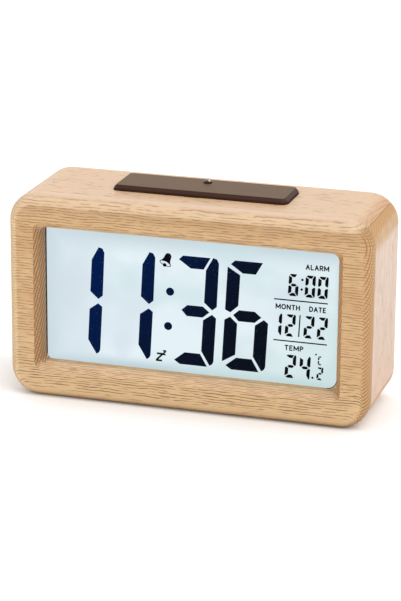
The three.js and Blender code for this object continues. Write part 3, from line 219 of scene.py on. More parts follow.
# Ground of the display: widths over which it dims towards its left, right, lower and upper edge, and the
# places and strengths of its tints
EDGE_GLOW = (9.0, 4.0, 5.0, 11.0)
FOOT_GLOW = (14.6, 12.6, 0.0, 0.25)
CYAN_LENGTHS = (22, 22, 15)
CYAN_SPAN = (0.45, 0.68, 0.0, 0.6)
LAVENDER_LENGTHS = (18, 18, 26)
LAVENDER_SPAN = (0.5, 0.72, 0.0, 0.6)
GROUND_DETAIL = 1.5
LEFT_TINT = (-25, -50, 0.0, 0.6)
GREEN_LEAN = 0.35
GREEN_TINT = (-22, 4, 0.0, 0.7)

# Ink of the display, which changes along a slope
INK_LEAN = -0.7
INK_TINT = (-82, 2)

# Edge round the lit part of the display. At the top and the left it is dark, painted shadow of the gap behind
# the frame, and a dark line of painted shadow follows the lower right corner; at the foot and the right it is
# a wood-coloured print, which lies a little deeper.
EDGE_LOW = (-55.6, 12.08)
EDGE_HIGH = (53.95, 64.4)
EDGE_RADIUS = 1.8
EDGE_STEPS = 8
EDGE_COVERED = 1.6
EDGE_DROP = 0.01
CORNER_RADIUS = 3.4
CORNER_LINE = 0.3

# Outlines of the seven segments. A corner is (side, strokes inwards, end, strokes inwards): side and end are
# -1 or 1 for an edge of the digit and 0 for its middle, where the distance counts to the right or up.
SEGMENTS = {
    "a": ((-1, 0.23, 1, 0.31), (-1, 0.54, 1, 0), (1, 0.70, 1, 0), (1, 1.18, 1, 0.94), (-1, 1.18, 1, 0.94)),
    "b": ((1, 0.50, 1, -0.02), (1, 0.20, 1, 0.06), (1, 0.03, 1, 0.38), (1, 0, 0, 0.50), (1, 0.34, 0, 0.21),
          (1, 1, 0, 0.77), (1, 1, 1, 0.98)),
    "c": ((1, 0.34, 0, -0.13), (1, 0, 0, -0.38), (1, 0, -1, 0.44), (1, 0.10, -1, 0.22), (1, 0.29, -1, 0.10),
          (1, 1, -1, 1.19), (1, 1, 0, -0.63)),
    "d": ((-1, 0.29, -1, 0.29), (-1, 0.75, -1, 0), (1, 0.48, -1, 0), (1, 1.08, -1, 0.96),
          (-1, 1.08, -1, 0.96)),
    "e": ((-1, 0.42, 0, -0.13), (-1, 0, 0, -0.40), (-1, 0, -1, 0.56), (-1, 1, -1, 1.19), (-1, 1, 0, -0.63)),
    "f": ((-1, 0, 1, 0.52), (-1, 1, 1, 1.10), (-1, 1, 0, 0.77), (-1, 0.42, 0, 0.21), (-1, 0, 0, 0.40)),
    "g": ((-1, 0.65, 0, 0.03), (-1, 1.08, 0, 0.44), (1, 1.08, 0, 0.44), (1, 0.54, 0, 0.03),
          (1, 1.04, 0, -0.42), (-1, 1.08, 0, -0.42)),
}
NUMERALS = {"1": "bc", "2": "abdeg", "3": "abcdg", "4": "bcfg", "6": "acdefg", "0": "abcdef", "C": "adef"}
DIGIT_SLANT = 0.051

# Rows of digits: the place of each numeral and of each round dot with its radius
DIGIT_ROWS = {
    "time_digits": {
        "size": dict(z=35.8, width=16.3, height=41.2, stroke=4.85),
        "numerals": (("1", -42.35), ("1", -22.98), ("3", 0.93), ("6", 20.35)),
        "dots": ((-8.4, 42.35, 1.53), (-9.1, 29.2, 1.53)),
    },
    "alarm_digits": {
        "size": dict(z=49.35, width=3.75, height=8.2, stroke=1.22),
        "numerals": (("6", 37.52), ("0", 43.64), ("0", 48.28)),
        "dots": ((40.72, 51.58, 0.46), (40.52, 47.98, 0.46)),
    },
    "date_digits": {
        "size": dict(z=34.17, width=3.75, height=8.35, stroke=1.24),
        "numerals": (("1", 31.6), ("2", 36.6), ("2", 43.5), ("2", 48.4)),
        "dots": (),
    },
    "temperature_digits": {
        "size": dict(z=18.78, width=4.0, height=8.75, stroke=1.27),
        "numerals": (("2", 36.95), ("4", 42.25)),
        "dots": (),
    },
    "tenths_digit": {
        "size": dict(z=17.15, width=2.35, height=4.85, stroke=0.78),
        "numerals": (("2", 47.85),),
        "dots": ((45.15, 15.35, 0.42),),
    },
    "unit_sign": {
        "size": dict(z=22.05, width=1.65, height=3.35, stroke=0.55),
        "numerals": (("C", 47.85),),
        "dots": ((46.3, 24.25, 0.34),),
    },
}

# Legends of the display and beside the keys: words, middle, foot and width
DISPLAY_LEGENDS = (
    ("ALARM", 46.1, 55.45, 8.6), ("MONTH", 35.55, 39.95, 9.0),
    ("DATE", 46.5, 40.0, 6.2), ("TEMP", 38.1, 24.7, 7.0))
DISPLAY_LEGEND_HEIGHT = 2.05
KEY_LEGENDS = (
    ("SET", 14.5, 14.1, 5.2), ("UP", 14.5, 23.6, 3.6), ("DOWN", 13.5, 33.1, 7.2),
    ("ALARM", 13.0, 42.6, 8.2), ("OFF", 41.5, 18.6, 4.6), ("ON", 50.5, 18.6, 3.4))
KEY_LEGEND_HEIGHT = 2.1
LEGEND_WEIGHT = 0.42
LETTER_GAP = 0.42
STROKE_OVERRUN = 1 / 3

# Print on the back cover: its height, small steps between its strokes, and its uneven cover
PRINT_RISE = 0.03
PRINT_LIFT = 0.002
LIFT_STEPS = 29
COVER_LENGTHS = (0.6, 0.6, 0.6)
COVER_TONE = 0.82

# Rules of the display, from end to end
RULES = ((30.45, 43.6, 50.2, 43.6), (30.45, 28.25, 50.2, 28.25), (39.75, 30.2, 40.15, 38.4))
RULE_WEIGHT = 0.47

# Bell sign: half of its outline, and middle and size of its ovals
BELL_PLACE = (-9.62, 54.4)
BELL_TURN = -22
BELL_HALF = ((0.0, 2.46), (0.6, 2.32), (1.07, 1.87), (1.26, 1.12), (1.34, 0.1), (1.62, -0.75), (2.2, -1.55))
BELL_MOUTH_DIP = -0.88
BELL_MOUTH = (0, -1.66, 4.6, 1.9)
BELL_MOUTH_INSIDE = (0, -1.66, 4.0, 1.35)
BELL_CLAPPER = (0, -2.35, 1.45, 1.35)

# Sleep signs: middle, size and weight, and how far their strokes reach, in shares of half the size
SLEEP_SIGNS = ((-12.35, 17.05, 2.6, 0.7), (-10.5, 18.85, 1.4, 0.56))
SLEEP_FREE_END = 0.75
SLEEP_JOINED_END = 1.05
SLEEP_SLANT = 0.95

# Return springs of the snooze bar
SPRING_WIRE = 0.25
SPRING_TURNS = 6
SPRING_STEPS = 20
SPRING_SIDES = 8
SPRING_END_PITCH = 0.56


# Shader building

class Shader:
    """A Principled material whose varying values are built from a few kinds of node."""

    def __init__(self, name, roughness=0.5, metallic=0.0):
        self.material = bpy.data.materials.new(name)
        self.material.use_nodes = True
        self.tree = self.material.node_tree
        self.surface = self.tree.nodes["Principled BSDF"]
        self.set("Roughness", roughness)
        self.set("Metallic", metallic)

    def feed(self, socket, value):
        if isinstance(value, bpy.types.NodeSocket):
            self.tree.links.new(value, socket)
        elif isinstance(value, tuple) and len(value) == 3 and socket.type == "RGBA":
            socket.default_value = (*value, 1)
        else:
            socket.default_value = value

    def set(self, name, value):
        self.feed(self.surface.inputs[name], value)

    def coordinates(self, output):
        return self.split(self.tree.nodes.new("ShaderNodeTexCoord").outputs[output])

    def place(self):
        """The three coordinates of a point, in millimetres."""
        return [self.math("MULTIPLY", part, 1 / MM) for part in self.coordinates("Object")]

    def facing(self):
        """The three parts of the surface's direction."""
        return self.coordinates("Normal")

    def math(self, operation, first, second=0.0, third=0.0):
        node = self.tree.nodes.new("ShaderNodeMath")
        node.operation = operation
        for socket, value in zip(node.inputs, (first, second, third)):
            self.feed(socket, value)
        return node.outputs[0]

    def product(self, first, *others):
        for other in others:
            first = self.math("MULTIPLY", first, other)
        return first

    def most(self, first, *others):
        for other in others:
            first = self.math("MAXIMUM", first, other)
        return first

    def least(self, first, *others):
        for other in others:
            first = self.math("MINIMUM", first, other)
        return first

    def inverse(self, share):
        return self.math("SUBTRACT", 1.0, share)

    def split(self, vector):
        node = self.tree.nodes.new("ShaderNodeSeparateXYZ")
        self.feed(node.inputs[0], vector)
        return node.outputs

    def stretched(self, parts, lengths):
        """Coordinates divided by a length along each axis."""
        node = self.tree.nodes.new("ShaderNodeCombineXYZ")
        for socket, part, length in zip(node.inputs, parts, lengths):
            self.feed(socket, self.math("DIVIDE", part, length))
        return node.outputs[0]

    def noise(self, parts, lengths, detail=2.0, seed=0.0):
        node = self.tree.nodes.new("ShaderNodeTexNoise")
        node.noise_dimensions = "4D"
        self.feed(node.inputs["Vector"], self.stretched(parts, lengths))
        node.inputs["W"].default_value = seed
        node.inputs["Scale"].default_value = 1.0
        node.inputs["Detail"].default_value = detail
        return node.outputs["Fac"]

    def cells(self, parts, size):
        """A random value for each cell of a given size."""
        node = self.tree.nodes.new("ShaderNodeTexVoronoi")
        node.inputs["Scale"].default_value = 1.0
        self.feed(node.inputs["Vector"], self.stretched(parts, (size, size, size)))
        return self.split(node.outputs["Color"])[0]

    def step(self, value, low, high, to_low=0.0, to_high=1.0):
        node = self.tree.nodes.new("ShaderNodeMapRange")
        node.interpolation_type = "SMOOTHSTEP"
        self.feed(node.inputs["Value"], value)
        node.inputs["From Min"].default_value = low
        node.inputs["From Max"].default_value = high
        node.inputs["To Min"].default_value = to_low
        node.inputs["To Max"].default_value = to_high
        return node.outputs[0]

    def lines(self, rank, spacing, thickness):
        """Thin lines wherever the rank reaches a multiple of the spacing."""
        phase = self.math("FRACT", self.math("DIVIDE", rank, spacing))
        ridge = self.math("ABSOLUTE", self.math("MULTIPLY_ADD", phase, 2, -1))
        return self.step(ridge, thickness, 0.0)

    def mix(self, share, first, second):
        node = self.tree.nodes.new("ShaderNodeMix")
        node.data_type = "RGBA"
        colour_a, colour_b, colour_result = node.inputs[6], node.inputs[7], node.outputs[2]
        self.feed(node.inputs["Factor"], share)
        self.feed(colour_a, first)
        self.feed(colour_b, second)
        return colour_result

    def bump(self, height, depth):
        node = self.tree.nodes.new("ShaderNodeBump")
        node.inputs["Distance"].default_value = depth * MM
        self.feed(node.inputs["Height"], height)
        self.set("Normal", node.outputs[0])

    def glow(self, colour):
        """Light of its own and no gloss, as behind the lens of a lit display."""
        self.set("Base Color", (0.0, 0.0, 0.0))
        self.set("Specular IOR Level", 0.0)
        self.set("Emission Color", colour)
        self.set("Emission Strength", 1.0)


def linear(red, green, blue):
    """Screen colour, 0 to 255, as the linear colour that shaders use."""
    def channel(value):
        share = value / 255
        return share / 12.92 if share <= 0.04045 else ((share + 0.055) / 1.055) ** 2.4
    return (channel(red), channel(green), channel(blue))


def scaled(colour, share):
    return tuple(min(1, channel * share) for channel in colour)


# Materials

def wood(name, grain, face, pith, reach, tones, streaks, flecks, lattice,
         end_turn=END_TURN, shoulder=NO_SHOULDER, finish=None):
    """Beech with its grain along one axis and its face square to another.

    The pith lies at a place along the face's axis and the third axis. Rays spread from it and show as short
    streaks along the grain, rings run round it, and both cross in a lattice on end grain. Reach is the
    distance from the pith at which the rays are their named spacing apart. Streaks, flecks and lattice say
    how dark these marks are. The end grain's tone shows where the surface turns to it, and can start below
    that at a shoulder's height. A finish can change the tone and the marks from place to place.
    """
    shader = Shader(name)
    parts = shader.place()
    facing = shader.facing()
    along, deep = "XYZ".index(grain), "XYZ".index(face)
    aside = 3 - along - deep
    depth = shader.math("SUBTRACT", parts[deep], pith[0])
    width = shader.math("SUBTRACT", parts[aside], pith[1])
    square = shader.math("MULTIPLY_ADD", depth, depth, shader.math("MULTIPLY", width, width))
    radius = shader.math("SQRT", square)
    spread = shader.math("MULTIPLY", shader.math("DIVIDE", width, depth), reach)
    place = (parts[along], spread, radius)
    fibre_place = (parts[along], parts[deep], parts[aside])
    fray = shader.math("MULTIPLY_ADD", shader.noise(parts, FRAY_LENGTHS, seed=19), FRAY, -FRAY / 2)
    turned = shader.most(shader.math("ABSOLUTE", facing[along]), shader.step(parts[2], *shoulder))
    end = shader.step(shader.math("ADD", turned, fray), *end_turn)
    side = shader.inverse(end)

    def waver(lengths, shift, seed, detail=2):
        """A shift that changes slowly over the given lengths."""
        value = shader.noise(place, lengths, detail, seed)
        return shader.math("MULTIPLY_ADD", value, 2 * shift, -shift)

    def crossing(first, second, sign):
        """1 where the surface cuts across a direction, 0 where it faces along it."""
        other = shader.product(facing[aside], second, sign)
        along_it = shader.math("MULTIPLY_ADD", facing[deep], first, other)
        share = shader.math("DIVIDE", shader.math("ABSOLUTE", along_it), radius)
        return shader.step(share, *CROSSING_TURN)

    shift = shader.math("ADD", waver(SLOW_WAVER, SLOW_SHIFT, 0), waver(QUICK_WAVER, QUICK_SHIFT, 3))
    ray_rank = shader.math("ADD", spread, shift)
    ring_rank = shader.math("ADD", radius, waver(RING_WAVER, RING_SHIFT, 13, detail=0))
    rays = shader.product(shader.lines(ray_rank, RAY_SPACING, RAY_THICKNESS), crossing(width, depth, -1))
    rings = shader.product(shader.lines(ring_rank, RING_SPACING, RING_THICKNESS), crossing(depth, width, 1))
    short = shader.step(shader.noise(place, STREAK_LENGTHS, seed=5), *STREAK_SPAN)
    specks = shader.step(shader.noise(fibre_place, FLECK_LENGTHS, detail=1, seed=9), *FLECK_SPAN)
    along_marks = shader.most(shader.product(rays, short, streaks), shader.product(specks, flecks))
    end_marks = shader.product(shader.most(rings, shader.product(rays, END_RAYS)), lattice)
    dark = shader.math("ADD", shader.product(along_marks, side), shader.product(end_marks, end))

    cloud = shader.step(shader.noise(place, CLOUD_LENGTHS, detail=3, seed=7), *NOISE_SPAN)
    fibres = shader.step(shader.noise(fibre_place, FIBRE_LENGTHS, seed=11), *FIBRE_SPAN)
    tone = shader.mix(cloud, tones["pale"], tones["warm"])
    tone = shader.mix(fibres, tone, tones["warm"])
    # Foot tone: on the front board painted light from the floor
    tone = shader.mix(shader.step(parts[2], *FOOT_SHADE), tone, tones["foot"])
    if finish:
        tone, dark = finish(shader, parts, facing, tones, tone, dark)
    else:
        # Painted light: surfaces that face up take the top tone
        tone = shader.mix(shader.step(facing[2], *TOP_RISE), tone, tones["top"])
        tone = shader.mix(end, tone, tones["end"])
    shader.set("Base Color", shader.mix(dark, tone, tones["line"]))
    shader.set("Roughness", shader.math("MULTIPLY_ADD", end, END_ROUGHER, WOOD_ROUGHNESS))
    shader.set("Coat Weight", shader.math("MULTIPLY", side, WOOD_COAT))
    shader.set("Coat Roughness", COAT_ROUGHNESS)
    shader.bump(shader.inverse(dark), MARK_DEPTH)
    return shader.material


def frame_finish(shader, parts, facing, tones, tone, dark):
    """Tones and marks of the front board, whose rounded edges and window differ from its flat face in painted
    light and shade.
    """
    x, y, z = parts
    above = shader.step(z, *WINDOW_HEAD)
    below = shader.inverse(above)
    outside = shader.math("GREATER_THAN", shader.math("ABSOLUTE", x), RECESS_REACH)
    inside = shader.inverse(outside)
    end = shader.step(shader.math("ABSOLUTE", facing[0]), *END_TURN)
    rise = shader.math("MULTIPLY_ADD", shader.most(facing[0], 0.0), -CROWN_TURN, facing[2])
    # Painted highlight on the crown, the rounded top edge, where it faces up
    crown = shader.product(above, shader.step(rise, *CROWN_RISE))
    left = shader.product(outside, shader.step(facing[0], *LEFT_TURN))
    ledge = shader.product(below, inside)
    bevel = shader.product(ledge, shader.step(facing[2], *BEVEL_RISE))
    sill = shader.product(ledge, shader.step(facing[2], *SILL_RISE))
    jamb = shader.product(inside, end)
    # Painted shade just under the crown's painted highlight
    under_crown = shader.product(shader.step(z, *CROWN_SHADE), shader.inverse(crown))
    from_seam = shader.math("ABSOLUTE", shader.math("SUBTRACT", facing[2], SEAM_RISE))
    seam = shader.step(from_seam, SEAM_REACH, 0.0)
    broken = shader.step(shader.noise(parts, SEAM_LENGTHS, detail=1, seed=15), *SEAM_BREAKS)

    tone = shader.mix(end, tone, tones["end"])
    tone = shader.mix(shader.product(under_crown, CROWN_SHARE), tone, tones["line"])
    # Painted light on the rounded left edge
    tone = shader.mix(left, tone, tones["left"])
    # Painted highlight: the crown and its flat top take paler tones, and the marks fade there
    tone = shader.mix(crown, tone, tones["crown"])
    tone = shader.mix(shader.product(crown, shader.step(facing[2], *FLAT_RISE)), tone, tones["flat"])
    # Painted light on the bevel and the sill of the window
    tone = shader.mix(bevel, tone, tones["bevel"])
    tone = shader.mix(sill, tone, tones["sill"])
    # Painted shade at the back of the sill
    tone = shader.mix(shader.product(sill, shader.step(y, *SILL_BACK)), tone, tones["line"])
    # Painted shade under the lower front edge
    under = shader.product(shader.step(z, *UNDER_HEIGHT), shader.step(facing[2], *UNDER_RISE))
    tone = shader.mix(under, tone, tones["under"])
    # Painted shade in the jambs of the window
    tone = shader.mix(shader.product(jamb, shader.step(x, *JAMB_SHADE)), tone, tones["line"])

    dark = shader.product(dark, shader.step(z, *FOOT_MARKS))
    dark = shader.product(dark, shader.math("MULTIPLY_ADD", crown, -CROWN_FADE, 1.0))
    dark = shader.product(dark, shader.math("MULTIPLY_ADD", left, -LEFT_FADE, 1.0))
    dark = shader.product(dark, shader.math("MULTIPLY_ADD", jamb, -JAMB_FADE, 1.0))
    inwards = shader.math("SUBTRACT", WINDOW_HIGH[0], shader.math("ABSOLUTE", x))
    level = shader.math("MULTIPLY_ADD", z, JAMB_LEAN[1], y)
    steep = shader.math("MULTIPLY_ADD", inwards, JAMB_LEAN[0], level)
    waver = shader.noise(parts, JAMB_WAVER, detail=1, seed=17)
    jamb_rank = shader.math("MULTIPLY_ADD", waver, JAMB_SWING, steep)
    coarse = shader.lines(jamb_rank, JAMB_SPACING, JAMB_THICKNESS)
    dark = shader.most(
        shader.least(dark, 1.0),
        shader.product(above, seam, broken, SEAM_SHARE),
        shader.product(coarse, jamb, JAMB_MARKS),
        shader.product(shader.lines(y, SILL_SPACING, SILL_THICKNESS), sill, broken, SILL_MARKS))
    return tone, dark


def moulded(name, colour, roughness, side=None, shine=0.5):
    """Moulded plastic with a fine spark-eroded texture, slight clouding and, if given, darker sides, painted
    shade.
    """
    shader = Shader(name, roughness)
    parts = shader.place()
    texture = shader.noise(parts, TEXTURE_LENGTHS)
    cloud = shader.noise(parts, MOULD_CLOUDS, seed=4)
    tone = shader.mix(cloud, *[scaled(colour, share) for share in MOULD_TONES])
    if side:
        # Painted shade: surfaces that do not face up take the darker side colour
        tone = shader.mix(shader.step(shader.facing()[2], *BAR_TOP_RISE), side, tone)
    gloss = shader.step(texture, *NOISE_SPAN, roughness - TEXTURE_GLOSS, roughness + TEXTURE_GLOSS)
    shader.set("Base Color", tone)
    shader.set("Roughness", gloss)
    shader.set("Specular IOR Level", shine)
    shader.bump(texture, TEXTURE_DEPTH)
    return shader.material


def metal(name, colour, roughness):
    """Bright metal with fine draw marks."""
    shader = Shader(name, roughness, metallic=1.0)
    marks = shader.noise(shader.place(), DRAW_LENGTHS)
    gloss = [roughness + change for change in DRAW_GLOSS]
    shader.set("Base Color", shader.mix(marks, scaled(colour, DRAW_TONE), colour))
    shader.set("Roughness", shader.step(marks, *NOISE_SPAN, *gloss))
    return shader.material


def circuit(name, mask, track):
    """Solder mask over tracks that run square to each other."""
    shader = Shader(name, roughness=0.35)
    x, y, z = shader.place()
    upright = shader.math("PINGPONG", x, TRACK_PITCH)
    level = shader.math("PINGPONG", shader.math("ADD", y, z), TRACK_PITCH)
    pick = shader.math("GREATER_THAN", shader.cells((x, y, z), TRACK_FIELD), 0.5)
    other = shader.product(level, shader.inverse(pick))
    chosen = shader.math("MULTIPLY_ADD", upright, pick, other)
    copper = shader.step(chosen, *TRACK_EDGE)
    shader.set("Base Color", shader.mix(copper, mask, track))
    shader.bump(copper, TRACK_DEPTH)
    return shader.material


def lit_panel(name):
    """Lit display ground, dimmer towards its edges, with faint cyan, lavender and green clouds."""
    shader = Shader(name, roughness=0.25)
    x, y, z = shader.place()
    distances = (
        shader.math("SUBTRACT", x, WINDOW_LOW[0]),
        shader.math("SUBTRACT", WINDOW_HIGH[0], x),
        shader.math("SUBTRACT", z, WINDOW_LOW[1]),
        shader.math("SUBTRACT", WINDOW_HIGH[1], z))
    from_edge = shader.least(*[
        shader.math("DIVIDE", distance, reach) for distance, reach in zip(distances, EDGE_GLOW)])
    cyan = shader.step(shader.noise((x, y, z), CYAN_LENGTHS, GROUND_DETAIL), *CYAN_SPAN)
    lavender = shader.step(shader.noise((x, y, z), LAVENDER_LENGTHS, GROUND_DETAIL, seed=6), *LAVENDER_SPAN)
    left = shader.step(x, *LEFT_TINT)
    slope = shader.math("SUBTRACT", shader.math("MULTIPLY", x, GREEN_LEAN), z)
    lower_right = shader.step(slope, *GREEN_TINT)
    tone = shader.mix(shader.step(from_edge, 0.0, 1.0), linear(196, 214, 220), linear(231, 244, 250))
    tone = shader.mix(cyan, tone, linear(206, 228, 232))
    tone = shader.mix(lavender, tone, linear(213, 223, 234))
    tone = shader.mix(left, tone, linear(212, 225, 233))
    tone = shader.mix(lower_right, tone, linear(206, 228, 225))
    tone = shader.mix(shader.step(z, *FOOT_GLOW), tone, linear(178, 214, 228))
    shader.glow(tone)
    return shader.material


def segment_ink(name, near, far):
    """Dark segments that turn from one tint at the upper left to another at the lower right."""
    shader = Shader(name, roughness=0.4)
    x, _, z = shader.place()
    slope = shader.math("MULTIPLY_ADD", z, INK_LEAN, x)
    shader.glow(shader.mix(shader.step(slope, *INK_TINT), near, far))
    return shader.material


def plain_ink(name, colour):
    """Dark ink of one colour, for the legends and rules of the display."""
    shader = Shader(name, roughness=0.4)
    shader.glow(colour)
    return shader.material


def clear(name, colour, roughness, bend):
    """Clear plastic or glass with faint flow marks in its gloss."""
    shader = Shader(name, roughness)
    flow = shader.noise(shader.place(), FLOW_LENGTHS)
    shader.set("Base Color", colour)
    shader.set("Transmission Weight", 1.0)
    shader.set("IOR", bend)
    shader.set("Roughness", shader.step(flow, *NOISE_SPAN, roughness, roughness + FLOW_GLOSS))
    return shader.material


def thin_clear(name):
    """A thin clear sheet that light crosses without bending, with a faint gloss."""
    shader = Shader(name, roughness=0.03)
    shader.set("Base Color", (0.0, 0.0, 0.0))
    shader.set("Alpha", LENS_ALPHA)
    return shader.material


def tinted_dome(name, rim, middle, glint):
    """Small tinted lens, dark at its foot with painted shade, and a painted glint at one side of its top."""
    shader = Shader(name, roughness=0.22)
    x, y, z = shader.facing()
    to_right, to_back, to_top = GLINT_TOWARDS
    back_and_up = shader.math("MULTIPLY_ADD", y, to_back, shader.math("MULTIPLY", z, to_top))
    towards = shader.math("MULTIPLY_ADD", x, to_right, back_and_up)
    # Painted shade: the dome darkens to its rim tone where it turns away from facing up
    tone = shader.mix(shader.step(z, *DOME_RISE), rim, middle)
    # Painted glint: a pale spot where the dome faces one direction
    shader.set("Base Color", shader.mix(shader.step(towards, *GLINT_TURN), tone, glint))
    shader.set("Specular IOR Level", DOME_SHINE)
    return shader.material


def cell_jacket(name, nub, side):
    """Sleeve of a cell along x, scuffed, with a pale band at its nub and bare steel ends."""
    shader = Shader(name, roughness=0.35)
    x, y, z = shader.place()
    from_nub = shader.math("MULTIPLY", shader.math("SUBTRACT", nub, x), side)
    scuff = shader.step(shader.noise((x, y, z), SCUFF_LENGTHS, detail=3), *SCUFF_SPAN)
    sleeve = shader.mix(scuff, linear(38, 46, 54), linear(70, 82, 92))
    band = shader.math("LESS_THAN", from_nub, CELL_BAND)
    steel_end = shader.math("GREATER_THAN", shader.math("ABSOLUTE", shader.facing()[0]), CELL_END_TURN)
    sleeve = shader.mix(band, sleeve, linear(176, 181, 184))
    shader.set("Base Color", shader.mix(steel_end, sleeve, linear(190, 192, 194)))
    shader.set("Metallic", steel_end)
    return shader.material


def printed(name, colour):
    """Pad-printed ink with a slightly uneven cover."""
    shader = Shader(name, roughness=0.6)
    cover = shader.noise(shader.place(), COVER_LENGTHS)
    shader.set("Base Color", shader.mix(cover, scaled(colour, COVER_TONE), colour))
    return shader.material


# Of the front board's tones, crown, flat, left, bevel and sill are painted light, under is painted shade, and
# its paler foot is painted light from the floor
front_wood = wood(
    "front_beech", grain="X", face="Y", pith=(-62, 72), reach=40.5,
    streaks=0.74, flecks=0.3, lattice=0.8, finish=frame_finish,
    tones={"pale": linear(206, 169, 122), "warm": linear(193, 152, 103), "foot": linear(207, 172, 125),
           "crown": linear(211, 180, 144), "flat": linear(207, 175, 145), "left": linear(215, 184, 139),
           "bevel": linear(215, 178, 136), "sill": linear(247, 200, 144), "under": linear(160, 122, 74),
           "end": linear(193, 152, 104), "line": linear(112, 70, 34)})
# The top tones of these boards are painted light
long_wood = wood(
    "board_beech_long", grain="X", face="Z", pith=(-30, 0), reach=106,
    streaks=0.25, flecks=0.8, lattice=0.5,
    tones={"pale": linear(207, 174, 138), "warm": linear(198, 160, 120), "foot": linear(204, 169, 133),
           "top": linear(206, 171, 134), "end": linear(197, 157, 118), "line": linear(140, 96, 60)})
upright_wood = wood(
    "board_beech_upright", grain="Z", face="X", pith=(-83, -60), reach=150,
    streaks=0.6, flecks=0.7, lattice=0.5, end_turn=(0.02, 0.5), shoulder=(62, 67.5, 0.0, 0.34),
    tones={"pale": linear(207, 183, 162), "warm": linear(196, 165, 140), "foot": linear(203, 165, 133),
           "top": linear(196, 160, 122), "end": linear(185, 144, 93), "line": linear(150, 106, 66)})
# The snooze bar's darker side colour is painted shade
bar_plastic = moulded("bar_brown", linear(92, 66, 38), 0.5, side=linear(52, 24, 5), shine=0.26)
cover_plastic = moulded("cover_brown", linear(74, 58, 46), 0.55)
key_plastic = moulded("key_brown", linear(58, 40, 28), 0.45)
knob_plastic = moulded("knob_cream", linear(186, 176, 158), 0.45)
dark_plastic = moulded("black_plastic", linear(30, 30, 32), 0.5)
white_plastic = moulded("white_plastic", linear(226, 228, 228), 0.5)
grey_rubber = moulded("grey_rubber", linear(86, 89, 94), 0.75)
resin = moulded("black_resin", linear(18, 18, 19), 0.3)
red_sleeve = moulded("red_sleeve", linear(168, 38, 31), 0.45)
black_sleeve = moulded("black_sleeve", linear(24, 25, 27), 0.45)
ribbon_grey = moulded("ribbon_grey", linear(169, 173, 177), 0.55)
# Dark edge of the display: painted shadow of the gap between frame and glass
edge_shadow_paint = moulded("outline_grey", linear(66, 63, 60), 0.6)
foot_ink = moulded("outline_brown", linear(255, 210, 160), 0.6)
steel = metal("bright_steel", linear(190, 192, 195), 0.3)
solder_mask = circuit("solder_mask", linear(20, 78, 48), linear(44, 122, 72))
display_ground = lit_panel("lit_display")
lens_clear = thin_clear("lens_clear")
guide_clear = clear("guide_clear", (0.92, 0.97, 1.0), roughness=0.08, bend=1.45)
# Its rim tone is painted shade and its pale tone a painted glint
dome_tint = tinted_dome("sensor_dome", linear(26, 15, 8), linear(98, 80, 60), linear(250, 244, 214))
left_cell_sleeve = cell_jacket("cell_sleeve_left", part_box("battery_1")[0].x / MM, -1)
right_cell_sleeve = cell_jacket("cell_sleeve_right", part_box("battery_2")[1].x / MM, 1)
big_ink = segment_ink("segment_navy", linear(4, 29, 78), linear(12, 18, 30))
small_ink = segment_ink("segment_black", linear(12, 14, 24), linear(12, 14, 18))
legend_ink = plain_ink("legend_grey", linear(16, 20, 26))
legend_print = printed("legend_print", linear(206, 196, 184))

KEYS = ("mode", "up", "down", "alarm")
FINISHES = {
    front_wood: ["front_board"],
    long_wood: ["top_board", "bottom_board"],
    upright_wood: ["left_board", "right_board"],
    bar_plastic: ["snooze_bar"],
    cover_plastic: ["back_cover", "battery_door"],
    key_plastic: [f"{key}_button" for key in KEYS],
    knob_plastic: ["light_switch_knob"],
    dark_plastic: ["display_chassis", "snooze_switch", *[f"{key}_switch" for key in KEYS]],
    white_plastic: ["reflector_sheet", "backlight_strip", "snooze_plunger",
                    *[f"{key}_plunger" for key in KEYS]],
    grey_rubber: ["zebra_strip"],
    resin: ["controller_chip", "buzzer", "temperature_sensor"],
    red_sleeve: ["battery_lead_red"],
    black_sleeve: ["battery_lead_black"],
    ribbon_grey: ["key_ribbon", "snooze_ribbon"],
    steel: ["clock_crystal", "board_screw_left", "board_screw_right", "light_switch_housing",
            "positive_contact", "lower_link_contact", "upper_link_contact", "negative_contact",
            "snooze_spring_left", "snooze_spring_right", *[f"cover_screw_{place}" for place in (1, 2, 3, 4)]],
    solder_mask: ["main_circuit_board", "snooze_circuit_board", "key_circuit_board"],
    display_ground: ["lcd_front_glass"],
    guide_clear: ["lcd_rear_glass", "light_guide", "light_sensor"],
    lens_clear: ["window_lens"],
    dome_tint: ["sensor_window"],
    left_cell_sleeve: ["battery_1", "battery_3"],
    right_cell_sleeve: ["battery_2"],
}


def dress(node, material):
    """Gives a CAD node its material, soft shading and, where it is moulded, small edge radii."""
    piece = nodes[node]
    piece.data.materials.clear()
    piece.data.materials.append(material)
    piece.data.shade_smooth()
    weld = piece.modifiers.new("weld", "WELD")
    weld.merge_threshold = WELD_REACH * MM
    if node in SOFT_EDGES:
        bevel = piece.modifiers.new("edge radius", "BEVEL")
        bevel.width = SOFT_EDGES[node] * MM
        bevel.segments = SOFT_STEPS
        bevel.limit_method = "ANGLE"
        bevel.angle_limit = math.radians(SOFT_FROM)
    split = piece.modifiers.new("hard edges", "EDGE_SPLIT")
    split.split_angle = math.radians(SHARP_FROM)
    piece.modifiers.new("normals", "WEIGHTED_NORMAL")


for material, names in FINISHES.items():
    for node in names:
        dress(node, material)


# Prints

def add_piece(name, mesh, material, body="case"):
    mesh.materials.append(material)
    piece = bpy.data.objects.new(name, mesh)
    bpy.context.scene.collection.objects.link(piece)
    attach(piece, body)
    return piece


def to_mesh(form):
    bmesh.ops.recalc_face_normals(form, faces=form.faces)
    mesh = bpy.data.meshes.new("form")
    form.to_mesh(mesh)
    form.free()
    return mesh


